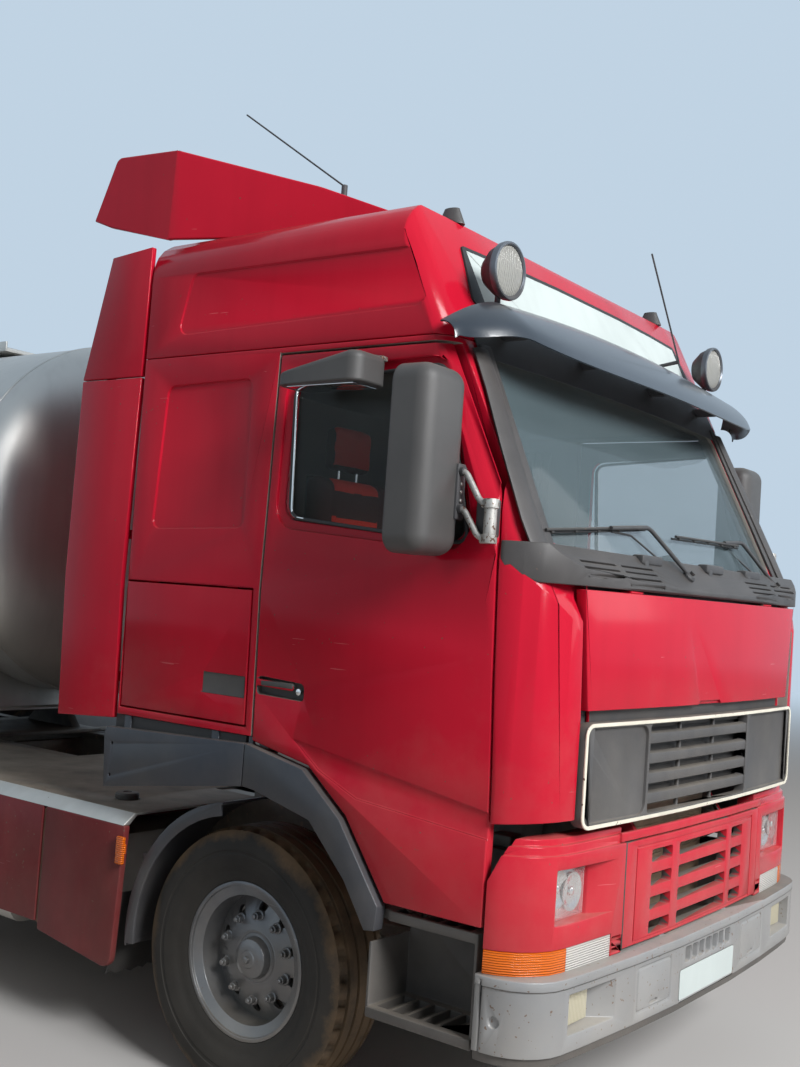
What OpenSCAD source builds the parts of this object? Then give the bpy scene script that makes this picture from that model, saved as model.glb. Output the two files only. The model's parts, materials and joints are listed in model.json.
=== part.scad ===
// Articulated tanker lorry: a cab-over road tractor with a high-roof sleeper cab and a stainless tank trailer.
// +X is forward, +Y is left, Z = 0 is the ground. The origin is under the middle of the whole rig.
// Tractor modules are drawn from the front axle, trailer modules from the coupling pin.

/* [Tractor] */
// Front axle to drive axle
wheelbase = 3700; // [3500:50:4000]
// Front axle to the foremost face of the bumper
front_overhang = 1400; // [1380:10:1500]
// Drive axle to the rear end of the frame rails
rear_overhang = 850; // [750:10:950]
// Width over the cab sides
cab_w = 2490; // [2450:10:2500]
// Front axle to the cab's rear wall
cab_back = 750; // [700:10:800]
// Front axle to the middle of the cab's front skin
cab_nose = 1345; // [1330:5:1350]
// Thickness of the cab walls and doors
wall = 60; // [50:5:70]
// Height of the seam between the cab and its roof
roof_seam_z = 2860; // [2840:10:2900]
// Height of the roof top
roof_top_z = 3400; // [3350:10:3450]
// Height of the cab's sill behind the doors
sill_z = 1370; // [1360:5:1390]
// Height of the cab floor's upper face
floor_z = 1440; // [1430:5:1450]

/* [Doors] */
// Rear edge of the door ahead of the front axle
door_back = 45; // [40:5:60]
// Front edge of the door ahead of the front axle
door_nose = 1105; // [1100:5:1110]
// Lowest edge of the door, above the steps
door_low_z = 885; // [880:5:900]
// Shut gap round doors and lids
shut_gap = 8; // [7:1:10]
// Height of the window's lower edge at the door's rear
window_z = 2200; // [2180:10:2220]
// Depth of the blind panels pressed into the cab's side and roof
press_depth = 10; // [6:1:12]

/* [Wheels] */
// Radius of the tractor's tyres
tyre_r = 505; // [495:5:510]
// Section width of the tractor's tyres
tyre_w = 300; // [290:5:310]
// Middle of a steered tyre from the centreline
front_track = 1030; // [1020:5:1035]
// Middle of an outer drive tyre from the centreline
drive_track = 1080; // [1075:1:1085]
// Spacing of the two tyres of a twin wheel
twin_gap = 345; // [340:1:350]
// Radius of the rim's flange
rim_r = 298; // [295:1:300]
// Radius of the trailer's tyres
trailer_tyre_r = 530; // [520:5:535]
// Section width of the trailer's tyres
trailer_tyre_w = 370; // [360:5:380]
// Middle of a trailer tyre from the centreline
trailer_track = 1035; // [1030:5:1040]

/* [Coupling] */
// Coupling pin ahead of the drive axle
kingpin_lead = 550; // [500:10:600]
// Height of the coupling plate's top
coupling_z = 1150; // [1145:1:1160]
// Radius of the coupling pin
kingpin_r = 25.4; // [25:0.1:25.4]
// Gap between the coupling plate and the trailer's plate
plate_gap = 0.5; // [0.3:0.1:0.8]
// Radius of the bore that takes the front towing pin
tow_pin_r = 20; // [18:1:22]

/* [Tank] */
// Outer radius of the tank
tank_r = 1000; // [980:5:1000]
// Length of the tank's straight shell
tank_shell = 9800; // [9600:50:10400]
// Depth of the dished heads
head_depth = 290; // [270:10:310]
// Front seam of the tank ahead of the coupling pin
tank_lead = 820; // [780:10:850]
// Height of the tank's axis
tank_z = 2250; // [2250:5:2280]
// Rear face of the trailer's bumper behind the tank's rear seam
trailer_reach = 420; // [400:10:450]
// Coupling pin to the middle trailer axle
bogie_back = 6660; // [6500:10:6800]
// Spacing of the trailer's axles
axle_pitch = 1310; // [1300:10:1400]
// Radius of the outlet flange's bolt circle
outlet_pcd_r = 75; // [70:5:85]

/* [Hidden] */
$fn = 48;

half = cab_w / 2;
kingpin_back = wheelbase - kingpin_lead;
rig_back = kingpin_back - tank_lead + tank_shell + trailer_reach;
rig_length = front_overhang + rig_back;
axle_x = rig_length / 2 - front_overhang;
pin_x = axle_x - kingpin_back;

// Colours of the finishes
red = "firebrick";
plastic = "dimgray";
trim = "darkslategray";
steel = "silver";
dark = "#2b2b2b";
rubber = "#1c1c1c";
glass = "lightblue";
amber = "orange";

// Gap of a seated piece, and gap of a pin in its bore
seat_gap = 0.3;

// Frame rails
rail_h = 266;
rail_w = 75;
rail_t = 8;
rails_w = 830;
rail_top = 960;
rail_low = rail_top - rail_h;
rail_out = rails_w / 2;

// Cab: corner radii, bows of the nose and windscreen, lean of the sides
corner_r = 250;
pillar_r = 130;
nose_bow = 58;
side_lean = 20;
belt_z = 1930;
screen_low_x = 1290;
screen_low_z = 2015;
screen_top_x = 880;
screen_lean = atan((screen_low_x - screen_top_x) / (roof_seam_z - screen_low_z));
glass_low_z = screen_low_z + 125;
front_low_z = 1245;
corner_low_z = 1220;

// Tilting cab
tilt_x = 1240;
tilt_z = 1090;
tilt_pin_r = 25;

// Bumper and the panels above it
bumper_back = 1110;
bumper_z = 470;
bumper_top = 745;
bumper_bow = 70;
panel_top = 1180;
lens_top = 822;
grille_half = 636;
screen_skew = 5;

// Steering
kingpin_y = 880;
axle_drop = 75;
hub_r = 200;

// Trailer chassis
beam_y = 480;
beam_low = 980;
beam_top = 1218;

module both() {
    children();
    mirror([0, 1, 0]) children();
}

module on_tractor() {
    translate([axle_x, 0, 0]) children();
}

module on_trailer() {
    translate([pin_x, 0, 0]) children();
}

// Extrudes an outline drawn in X and Z from y to y + t
module side_plate(y, t) {
    translate([0, y + t, 0]) rotate([90, 0, 0]) linear_extrude(t) children();
}

// Extrudes an outline drawn in Y and Z from x to x + t
module cross_plate(x, t) {
    translate([x, 0, 0]) rotate([90, 0, 90]) linear_extrude(t) children();
}

module bar(x, y, z, l, w, h) {
    translate([x, y - w / 2, z]) cube([l, w, h]);
}

module rod(a, b, r) {
    d = b - a;
    translate(a) rotate([0, acos(d.z / norm(d)), atan2(d.y, d.x)]) cylinder(h = norm(d), r = r, $fn = 16);
}

// A pin or tube of length l across the rig, its middle at y
module axle_tube(x, y, z, l, r) {
    translate([x, y, z]) rotate([90, 0, 0]) cylinder(h = l, r = r, center = true);
}

function unit(v) = v / norm(v);
function turn(a, b) = let(d = b - a) d > 180 ? d - 360 : d < -180 ? d + 360 : d;
function xy(p) = [p[0], p[1]];

// One corner of an outline: [x, y, radius] between its two neighbours
function corner(p, q, s, n) = q[2] <= 0 ? [xy(q)] : let(
    u = unit(xy(p) - xy(q)),
    v = unit(xy(s) - xy(q)),
    bend = acos(u * v) / 2,
    c = xy(q) + unit(u + v) * q[2] / sin(bend),
    f = xy(q) + u * q[2] / tan(bend) - c,
    g = xy(q) + v * q[2] / tan(bend) - c,
    a = atan2(f.y, f.x),
    da = turn(a, atan2(g.y, g.x)))
    [for (i = [0:n]) c + q[2] * [cos(a + da * i / n), sin(a + da * i / n)]];

// An outline whose corners are rounded, each by its own radius
function rounded(pts, n = 4) = let(m = len(pts))
    [for (i = [0:m - 1]) each corner(pts[(i + m - 1) % m], pts[i], pts[(i + 1) % m], n)];

function mirrored(pts) = concat(pts, [for (i = [len(pts) - 1:-1:0]) [pts[i].x, -pts[i].y, pts[i][2]]]);

// A rectangle with one radius at its corners, from x0, y0 to x1, y1
function round_rect(x0, y0, x1, y1, r) = rounded([[x0, y0, r], [x1, y0, r], [x1, y1, r], [x0, y1, r]]);

function arc(cx, cy, r, a0, a1, n = 12) = [for (i = [0:n]) let(a = a0 + (a1 - a0) * i / n)
    [cx + r * cos(a), cy + r * sin(a)]];

// A band of thickness t outside the arc of radius r
function arc_band(cx, cy, r, t, a0, a1, n = 14) = concat(arc(cx, cy, r, a0, a1, n), arc(cx, cy, r + t, a1, a0, n));

// Plan of a bowed front: straight sides, rounded corners, bowed nose; drawn in smaller by d, its bends moved out by skew
module bowed_plan(back, nose, bow, r, d = 0, back_r = 0, skew = 0) {
    polygon(rounded(mirrored(concat(
        [[back, half - d, max(back_r - d, 0)], [nose - bow - d, half - d, r - d]],
        [for (y = [half * 0.75 + skew, half * 0.5 + skew, half * 0.22 + skew]) [nose - bow * pow(y / half, 2)
            - d, y, 0]])), 6));
}

module cab_plan(d = 0) {
    bowed_plan(-cab_back + d, cab_nose, nose_bow, corner_r, d, 60);
}

module bumper_plan(d = 0, e = 0) {
    bowed_plan(bumper_back + e, front_overhang, bumper_bow, 200, d);
}

// Section of the cab across the rig, drawn in smaller by d; columns: share of the side lean, height
side_rows = [[0.75, 0], [0.75, sill_z], [0, belt_z], [1, roof_seam_z], [1.5, roof_top_z + 500]];
module cab_section(d = 0) {
    polygon([for (s = [1, -1]) each [for (k = s > 0 ? [0:4] : [4:-1:0])
        [s * (half - side_lean * side_rows[k][0] - d), side_rows[k][1]]]]);
}

// The bowed windscreen plane with the pillars' corners, drawn in smaller by d
module screen_prism(d = 0) {
    translate([screen_low_x, 0, screen_low_z]) rotate([0, -screen_lean, 0]) translate([0, 0, -1100])
        linear_extrude(4400) bowed_plan(-3400, 0, nose_bow, pillar_r, d, 0, screen_skew);
}

// Side outline of the cab below the roof seam, drawn in smaller by d at the front
module cab_side(d = 0, low = 0) {
    polygon([
        [-cab_back - 10 + d, sill_z + low],
        [door_nose, sill_z + low],
        [door_nose, corner_low_z + low * 3],
        [cab_nose + 10 - d, front_low_z + low * 3],
        [cab_nose + 10 - d, screen_low_z],
        [screen_low_x + 20 - d, screen_low_z],
        [screen_low_x + 20 - d, roof_seam_z - low],
        [-cab_back - 10 + d, roof_seam_z - low]]);
}

// The cab's whole outer form with its roof, drawn in smaller by d
module cab_form(d = 0) {
    cross_plate(-cab_back - 500, cab_back + cab_nose + 520) cab_section(d);
}

module cab_volume(d = 0, low = 0) {
    intersection() {
        side_plate(-half, cab_w) cab_side(d, low);
        cab_form(d);
        translate([0, 0, 1000]) linear_extrude(roof_top_z - 1000) cab_plan(d);
        screen_prism(d);
    }
}

// What lies outside the bowed nose drawn in by d, from x back on, between two heights
module nose_cut(d, z0, z1) {
    difference() {
        translate([900, -half, z0]) cube([600, cab_w, z1 - z0]);
        translate([0, 0, z0 - 1]) linear_extrude(z1 - z0 + 2) cab_plan(d);
    }
}

// A layer of the bowed nose between the depths d0 and d1
module nose_layer(d0, d1, z0, z1) {
    difference() {
        translate([0, 0, z0]) linear_extrude(z1 - z0) intersection() {
            cab_plan(d0);
            translate([900, -half]) square([600, cab_w]);
        }
        translate([0, 0, z0 - 1]) linear_extrude(z1 - z0 + 2) cab_plan(d1);
    }
}

// Front edge of the door, from its lowest point up to the roof seam
door_edge = [[door_nose + 8, door_low_z], [door_nose + 8, corner_low_z], [door_nose - 20, 2150],
    [door_nose - 60, 2400], [screen_top_x - 45, roof_seam_z - 30]];
function door_edge_x(z) = door_nose + 8 - 28 * (z - corner_low_z) / (2150 - corner_low_z);
arch_out = [[door_back, sill_z - 15], [330, 1300], [520, 1150], [660, 960], [715, door_low_z]];

module door_outline(d = 0) {
    polygon(concat([[door_back + d, roof_seam_z - 30 - d]],
        [for (p = arch_out) [p.x + d, p.y + d]],
        [for (p = door_edge) [p.x - d, p.y + (p.y > 2500 ? -d : p.y < 1000 ? d : 0)]]));
}

// Opening of the door's window
module window_outline(d = 0) {
    polygon(rounded([[door_back + 75 + d, window_z + d, 60 - d], [door_nose - 135 - d, window_z - 70 + d, 60 - d],
        [screen_top_x - 80 - d, 2750 - d, 60 - d], [door_back + 75 + d, 2725 - d, 60 - d]]));
}

// The lid's outline in the nose, widening to its top, drawn in smaller by d
module lid_outline(d = 0) {
    polygon([[-960 + d, 1598 + d], [960 - d, 1598 + d], [1016 - d, 2004 - d], [-1016 + d, 2004 - d]]);
}

// A pressed panel of depth press_depth in the cab's side; outline drawn in X and Z
module pressed() {
    difference() {
        side_plate(-half - 50, 150) children();
        cab_form(press_depth);
    }
}

module frame() {
    color(dark) {
        both() difference() {
            side_plate(rail_out - rail_w, rail_w) polygon([[-wheelbase - rear_overhang, rail_low],
                [bumper_back - seat_gap, rail_low],
                [bumper_back - seat_gap, rail_top], [-wheelbase - rear_overhang + 420, rail_top],
                [-wheelbase - rear_overhang, rail_top - 90]]);
            side_plate(rail_out - rail_w - 1, rail_w - rail_t + 1) polygon([[-wheelbase - rear_overhang - 1,
                rail_low + rail_t],
                [bumper_back + 1, rail_low + rail_t], [bumper_back + 1, rail_top - rail_t],
                [-wheelbase - rear_overhang + 420, rail_top - rail_t], [-wheelbase - rear_overhang - 1,
                    rail_top - 90 - rail_t]]);
        }
        for (x = [-1400, -2100, -3000, -4100, -wheelbase - rear_overhang])
            bar(x, 0, rail_low + 110, 60, rails_w - 2 * rail_t, 100);
        // Front cross-member and its towing jaw, bored for the pin
        difference() {
            union() {
                bar(1030, 0, rail_low + 40, 60, rails_w - 2 * rail_t, 120);
                bar(1030, 0, rail_low + 40, 79, 120, 120);
            }
            translate([1075, 0, rail_low]) cylinder(h = 200, r = tow_pin_r);
        }
        // Front tilt brackets and rear rests of the cab
        both() {
            difference() {
                side_plate(355, 30) polygon([[900, rail_top - rail_t], [1100, rail_top - rail_t], [1275, 1055],
                    [1275, 1125],
                    [1205, 1125], [1100, 1030], [900, 1030]]);
                axle_tube(tilt_x, 370, tilt_z, 60, tilt_pin_r + 0.05);
            }
            cross_plate(-680, 60) polygon([[330, rail_top - rail_t], [415, rail_top - rail_t],
                [400, sill_z - seat_gap], [345, sill_z - seat_gap]]);
        }
    }
}

module fifth_wheel() {
    translate([-kingpin_back, 0, 0]) color(dark) {
        difference() {
            translate([0, 0, coupling_z - 40]) linear_extrude(40) polygon(rounded(mirrored([
                [-480, 330, 30], [-220, 450, 60], [160, 450, 90], [330, 260, 60]])));
            translate([0, 0, coupling_z - 50]) cylinder(h = 60, r = kingpin_r + 0.4);
            translate([-500, 0, coupling_z - 50]) linear_extrude(60)
                polygon([[0, -160], [500, -kingpin_r - 0.4], [500, kingpin_r + 0.4], [0, 160]]);
            // Ramps of the two rear horns
            translate([-500, 0, coupling_z - 30]) rotate([0, -12, 0]) translate([-100, -500, 0]) cube([240,
                1000, 60]);
        }
        both() side_plate(300, 60) polygon([[-230, rail_top + 20], [230, rail_top + 20], [110, coupling_z - 40],
            [-110, coupling_z - 40]]);
        bar(-330, 0, rail_top, 660, 880, 20);
    }
}

// A stack of cambered leaves; rows: half length, place below the top leaf
leaf_rows = [[750, 0], [640, 14], [500, 28], [340, 42]];
module leaf_spring(y, z) {
    for (k = leaf_rows) side_plate(y, 80) polygon(concat(
        [for (i = [-6:6]) [k[0] * i / 6, z - k[1] + 90 * pow(k[0] * i / 6 / 750, 2)]],
        [for (i = [6:-1:-6]) [k[0] * i / 6, z - 14.1 - k[1] + 90 * pow(k[0] * i / 6 / 750, 2)]]));
    for (x = [-750, 750]) axle_tube(x, y + 40, z + 76, 80, 28);
}

// The beam's line across the rig, and its web and flanges: width, lower and upper face
beam_line = [[26 - kingpin_y, 0], [-560, 0], [-440, -70], [440, -70], [560, 0], [kingpin_y - 26, 0]];
beam_rows = [[40, -50, 50], [110, 42, 60], [110, -60, -42]];

module front_axle() {
    beam_z = tyre_r - axle_drop;
    spring_z = beam_z + 130;
    color(dark) {
        difference() {
            union() {
                for (k = beam_rows) cross_plate(-k[0] / 2, k[0]) polygon(concat(
                    [for (p = beam_line) [p.x, beam_z + p.y + k[1]]],
                    [for (i = [5:-1:0]) [beam_line[i].x, beam_z + beam_line[i].y + k[2]]]));
                both() translate([0, kingpin_y, beam_z - 60]) cylinder(h = 120, r = 46);
            }
            both() translate([0, kingpin_y, beam_z - 70]) cylinder(h = 140, r = 25 + seat_gap);
        }
        both() {
            leaf_spring(rail_out - 40, spring_z);
            bar(-80, rail_out, beam_z - 12, 160, 90, spring_z - 56 - beam_z + 12);
            // Spring hangers below the rails
            for (x = [-750, 750]) side_plate(rail_out - 52, 12) polygon([[x - 60, rail_low], [x + 60, rail_low],
                [x + 35, spring_z + 50], [x - 35, spring_z + 50]]);
            rod([130, 350, beam_z], [330, 350, rail_low - 28], 28);
            bar(60, 350, beam_z - 20, 110, 40, 40);
        }
    }
}

module drive_axle() {
    inner = drive_track - twin_gap - 110;
    color(dark) translate([-wheelbase, 0, 0]) {
        translate([0, 0, tyre_r]) rotate([0, 90, 0]) rotate_extrude() polygon(rounded([[0, -190, 0], [110,
            -190, 40],
            [205, -80, 60], [205, 80, 60], [130, 190, 30], [90, 330, 20], [0, 330, 0]]));
        both() {
            axle_tube(0, (inner - 60) / 2, tyre_r, inner - 60, 75);
            axle_tube(0, inner + 25 - seat_gap, tyre_r, 170, hub_r);
            // Trailing beam, its pad and the two air bellows
            side_plate(rail_out - 90, 100) polygon([[-500, tyre_r - 140], [500, tyre_r - 140], [500, tyre_r - 90],
                [90, tyre_r - 60], [-90, tyre_r - 60], [-500, tyre_r - 90]]);
            for (x = [-400, 400]) translate([x, rail_out - 40, tyre_r - 100]) rotate_extrude()
                polygon(concat([[0, 0]], [for (k = [0:2]) each [[85, 96 * k + 4], [125, 96 * k + 30], [125,
                    96 * k + 66], [85, 96 * k + 92]]],
                [[85, rail_low - tyre_r + 100 - seat_gap], [0, rail_low - tyre_r + 100 - seat_gap]]));
            rod([60, 330, tyre_r - 60], [300, 330, rail_low - 30], 28);
        }
    }
}

module drivetrain() {
    color("slategray") {
        bar(-450, 0, 560, 1250, 620, 740);
        translate([-450, 0, 760]) rotate([0, -90, 0]) cylinder(h = 850, r1 = 240, r2 = 160);
        rod([-1300, 0, 740], [-wheelbase + 337, 0, tyre_r + 40], 55);
        // Engine feet on the rails
        for (x = [-300, 600]) bar(x, 0, rail_top + seat_gap, 100, rails_w - 60, 50);
    }
}

module radiator() {
    color("darkgoldenrod") {
        bar(1125, 0, bumper_top + seat_gap, 60, 2 * (355 - seat_gap), panel_top + 170 - bumper_top);
        for (z = [790:40:1310]) bar(1185, 0, z, 6, 640, 8);
    }
}

module side_tanks() {
    color(steel) both() {
        for (k = [[-2700, 1300, 300, half - 45, 270], [-1330, 420, 470, half - 60, 190]]) translate([k[0], 0, 0])
            cross_plate(0, k[1]) polygon(round_rect(rail_out + 70, 620 - k[4], k[3] - 20, 620 + k[4], 70));
        for (x = [-2600, -2100, -1500, -1200]) bar(x, rail_out + 36, 600, 50, 71 - seat_gap, 60);
    }
}

module side_skirts() {
    color(red) both() {
        side_plate(half - 30, 30) polygon(rounded([[-1122, 400, 8], [-1122, 925, 8], [-612, 925, 8], [-640,
            337, 50]]));
        side_plate(half - 30, 30) polygon(rounded([[-2950, 430, 60], [-2950, 925, 30], [-1142, 925, 8], [-1142,
            430, 8]]));
        side_plate(half - 42, 16) polygon([[-1170, 420], [-1170, 900], [-1090, 900], [-1090, 420]]);
        // Outriggers to the frame
        for (x = [-1160, -2850]) translate([x, rail_out + seat_gap, 830]) cube([60,
            half - 36 - rail_out - seat_gap, 40]);
    }
}

module deck() {
    color(steel) {
        bar(-2000, 0, rail_top + seat_gap, 1100, 2 * rail_out + 100, 10);
        both() difference() {
            cross_plate(-2950, 2330) polygon([[rail_out + 40, rail_top + seat_gap], [half - 72,
                rail_top + seat_gap], [half - 34, 925.3],
                [half, 925.3], [half - 60, rail_top + 10.3], [rail_out + 40, rail_top + 10.3]]);
            translate([-900, half - 260, rail_top - 20]) cylinder(h = 60, r = 55);
        }
    }
}

module mudguards() {
    front_r = 592;
    rear_r = 590;
    color(trim) both() {
        side_plate(930, 280) polygon(arc_band(0, tyre_r, front_r, 10, 100, 186));
        side_plate(1198, 12) polygon(arc_band(0, tyre_r, front_r - 42, 46, 101, 185, 13));
        translate([-wheelbase, 0, 0]) {
            side_plate(580, 650) polygon(arc_band(0, tyre_r, rear_r, 10, 12, 168, 24));
            side_plate(1222, 8) polygon(arc_band(0, tyre_r, rear_r - 25, 29, 13, 167, 22));
        }
        for (g = [[0, front_r + 22, 150], [-wheelbase, rear_r + 22, 30], [-wheelbase, rear_r + 22, 150]])
            translate([g[0] + g[1] * cos(g[2]), rail_out + seat_gap, tyre_r + g[1] * sin(g[2])])
                rotate([-90, 0, 0]) cylinder(h = 780, r = 15);
    }
}

// What lies outside the bumper's plan drawn in by d, between two heights
module bumper_cut(d, z0, z1) {
    difference() {
        translate([1000, -half, z0]) cube([500, cab_w, z1 - z0]);
        translate([0, 0, z0 - 1]) linear_extrude(z1 - z0 + 2) bumper_plan(d, -200);
    }
}

// Layers of the bumper; columns: lower height, upper height, set-back
bumper_rows = [[bumper_z, 502, 16], [502, 712, 4], [712, bumper_top, 0]];
bumper_wall = 84;

module bumper() {
    color("gray") {
        difference() {
            union() for (k = bumper_rows) translate([0, 0, k[0]]) linear_extrude(k[1] - k[0]) bumper_plan(k[2]);
            translate([0, 0, bumper_z - 1]) linear_extrude(bumper_top - bumper_z - 30) bumper_plan(bumper_wall,
                -20);
            both() {
                // Fog lamp pocket with its ramp
                translate([0, 0, 558]) linear_extrude(130) polygon([[1292, 1034], [1292, 832], [1300, 822],
                    [1420, 695], [1420, 1034]]);
                // Groove round the towing hatch and its finger slot
                intersection() {
                    bumper_cut(9, 530, 700);
                    cross_plate(1200, 250) difference() {
                        polygon(round_rect(340, 537, 600, 694, 16));
                        polygon(round_rect(346, 543, 594, 688, 12));
                    }
                }
                intersection() {
                    bumper_cut(16, 530, 700);
                    cross_plate(1200, 250) polygon(round_rect(440, 552, 500, 562, 4));
                }
                // Seam and plug hole of the end cap
                translate([1133, half - 9, bumper_z - 1]) cube([4, 20, 260]);
                axle_tube(1185, half, 605, 34, 18);
            }
            // Middle slots and the recess for the plate
            intersection() {
                bumper_cut(26, 500, 700);
                cross_plate(1200, 250) {
                    for (k = [0:6]) polygon(round_rect(-220 + 64 * k, 643, -174 + 64 * k, 705, 8));
                }
            }
            intersection() {
                bumper_cut(12, 500, 640);
                cross_plate(1200, 250) polygon(round_rect(-266, 508, 266, 622, 8));
            }
        }
        both() {
            // Brackets to the rails, and the lower grille's hinge blocks
            translate([bumper_back, rail_out - 66, 640]) cube([220, 60, 90]);
            translate([1302, 280, bumper_top - 5]) cube([25, 40, 16.7]);
        }
    }
}

// Layers of the lamp panel; columns: lower height, upper height, set-back
panel_rows = [[bumper_top + seat_gap, 1128, 2], [1128, 1158, 12], [1158, panel_top, 26]];

module lamp_panel() {
    color(red) {
        difference() {
            union() for (k = panel_rows) translate([0, 0, k[0]]) linear_extrude(k[1] - k[0]) cab_plan(k[2]);
            translate([0, 0, 700]) linear_extrude(600) cab_plan(100);
            translate([-2000, -half, 700]) cube([3125, cab_w, 600]);
            translate([1000, -grille_half - 4, 700]) cube([500, 2 * grille_half + 8, 600]);
            side_plate(-half, cab_w) polygon([[1100, 1040], [1125, 1040], [1192, 1190], [1100, 1190]]);
            both() {
                // Head lamp pocket with its ramp, and the corner cut for the low lenses
                translate([0, 0, 900]) linear_extrude(180) polygon([[1252, 1066], [1252, 829], [1275, 822],
                    [1345, 650], [1450, 650],
                    [1450, 1066]]);
                translate([1100, 716, 700]) cube([300, 600, lens_top - 700]);
                for (z = [756, 776, 796]) translate([1290, 646, z]) cube([80, 62, 13]);
            }
        }
        nose_band();
    }
}

// Narrow fascia between the two grilles
module nose_band() {
    intersection() {
        nose_layer(2, 18, 1132, 1164);
        translate([1000, -grille_half - 40, 1100]) cube([500, 2 * grille_half + 80, 100]);
    }
}

// Slots of the lower grille; columns: near side, far side
slot_cols = [[-440, -275], [-210, 255], [310, 440]];

module lower_grille() {
    color(red) difference() {
        intersection() {
            nose_layer(2, 42, bumper_top + 12, 1125);
            translate([1200, -grille_half + 2, 700]) cube([200, 2 * grille_half - 4, 500]);
        }
        for (k = slot_cols, z = [776, 862, 948, 1034]) cross_plate(1250, 200) polygon(round_rect(k[0], z, k[1],
            z + 46, 10));
        // Groove that frames the slots
        intersection() {
            nose_cut(7, 740, 1120);
            cross_plate(1200, 250) difference() {
                square_at(-560, 762, 560, 1104);
                square_at(-552, 770, 552, 1096);
            }
        }
    }
}

module square_at(x0, y0, x1, y1) {
    translate([x0, y0]) square([x1 - x0, y1 - y0]);
}

module lamps() {
    color("white") both() {
        translate([1252 + seat_gap, 832, 903]) cube([16, 230, 174]);
        translate([1292 + seat_gap, 836, 562]) cube([16, 194, 122]);
        intersection() {
            nose_layer(3, 62, bumper_top + seat_gap, lens_top - seat_gap);
            translate([1100, 717, 700]) cube([300, 277, 200]);
        }
    }
    color(amber) both() {
        intersection() {
            difference() {
                translate([0, 0, bumper_top + seat_gap]) linear_extrude(lens_top - bumper_top - 2 * seat_gap)
                    cab_plan(3);
                translate([0, 0, 700]) linear_extrude(200) cab_plan(62);
            }
            translate([1126, 996, 700]) cube([300, 300, 200]);
        }
        translate([-640, half + seat_gap, 815]) cube([50, 14, 40]);
    }
}

module steps() {
    color(dark) both() {
        // Rear wall of the well with its rolled edge, and the carrier from the frame
        side_wall = half - 30;
        translate([655, 980, 490]) cube([12, side_wall - 980, 250]);
        translate([800, rail_out + seat_gap, 720]) cube([60, 990 - rail_out, 40]);
        translate([667, 980, 490]) cube([430, 12, 370]);
        // Lower tread: a tray with a raised rim and openings
        difference() {
            translate([667, 992, 490]) cube([430, side_wall + 14 - 992, 34]);
            for (x = [690:66:1060]) translate([x, 1030, 498]) cube([50, 160, 40]);
        }
        // Upper tread
        difference() {
            translate([0, 0, 826]) linear_extrude(34) polygon([[667, 1080], [1097, 1080], [1097, 1215], [730,
                1215], [730, 1198], [667, 1198]]);
            for (x = [742:66:1060]) translate([x, 1096, 834]) cube([50, 100, 40]);
        }
        translate([667, 980, 830]) cube([12, 110, 30]);
        translate([1085, 980, 490]) cube([12, side_wall - 980, 340]);
        translate([1085, 980, 830]) cube([12, 110, 30]);
    }
}

// The windscreen's opening, seen from the front, drawn in smaller by d
module screen_outline(d = 0) {
    polygon(round_rect_taper(1050 - d, glass_low_z + d, 1000 - d, roof_seam_z - 40 - d, 60));
}

function round_rect_taper(a, z0, b, z1, r) = rounded([[-a, z0, r], [a, z0, r], [b, z1, r], [-b, z1, r]]);

module screen_bound(d = 0) {
    screen_prism(d);
    translate([-2600, -half, 0]) cube([5000, cab_w, screen_low_z - max(d, 0)]);
}

module cab_shell(d = 0, low = 0) {
    intersection() {
        cab_volume(d, low);
        screen_bound(d);
    }
}

// Opening in the nose for the lid and the grille
module nose_opening() {
    polygon([[-1000, 1190], [1000, 1190], [1000, 1580], [1026, 2012], [-1026, 2012], [-1000, 1580]]);
}

module locker_outline(d = 0) {
    polygon([[-cab_back + 30 + d, sill_z + 30 + d], [door_back - 40 - d, sill_z + 30 + d], [door_back - 40 - d,
        belt_z - d],
        [-cab_back + 30 + d, belt_z - d]]);
}

module cab_body() {
    color(red) both() {
        // Tilt lugs and their pins
        side_plate(390, 25) polygon([[1268, 1062], [1268, 1105], [1030, floor_z - 30], [930, floor_z - 30],
            [1205, 1070]]);
        axle_tube(tilt_x, 385, tilt_z, 60, tilt_pin_r);
        // Hinge blocks of the doors and the lockers
        for (z = [1300, 1700]) translate([door_edge_x(z) + seat_gap, half - wall - 10, z])
            cube([1125 - door_edge_x(z), 50, 100]);
        for (x = [-600, -150]) translate([x, half - 40, belt_z - shut_gap + seat_gap]) cube([60, 30, 20]);
    }
    // Hinge blocks of the lid
    color(red) for (y = [-700, 600]) translate([1250, y, 2004 + seat_gap]) cube([66, 100, 9]);
    color(red) difference() {
        cab_shell();
        difference() {
            cab_shell(wall, 1);
            translate([-cab_back, -half, 0]) cube([cab_back + cab_nose, cab_w, floor_z]);
        }
        // Front corners are open boxes below the floor
        translate([0, 0, 1100]) linear_extrude(floor_z - wall - 1100) intersection() {
            cab_plan(wall);
            translate([door_nose + 10, -half]) square([400, cab_w]);
        }
        // Room for the radiator when the cab tilts
        translate([1000, -420, 1100]) cube([130, 840, floor_z - wall - 1100]);
        // Doorways and lockers
        both() side_plate(half - wall - 40, wall + 60) door_outline(-shut_gap);
        both() side_plate(half - 45, 60) locker_outline();
        // Windscreen and the shallow opening behind lid and grille
        translate([600, 0, 0]) cross_plate(0, 900) screen_outline();
        intersection() {
            nose_cut(48, 1190, 2012);
            cross_plate(1200, 200) nose_opening();
        }
        // Blind panel behind the door
        both() pressed() polygon(rounded([[-600, 2145, 40], [-78, 2160, 40], [-98, 2748, 40], [-578, 2738, 40]]));
    }
}

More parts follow.
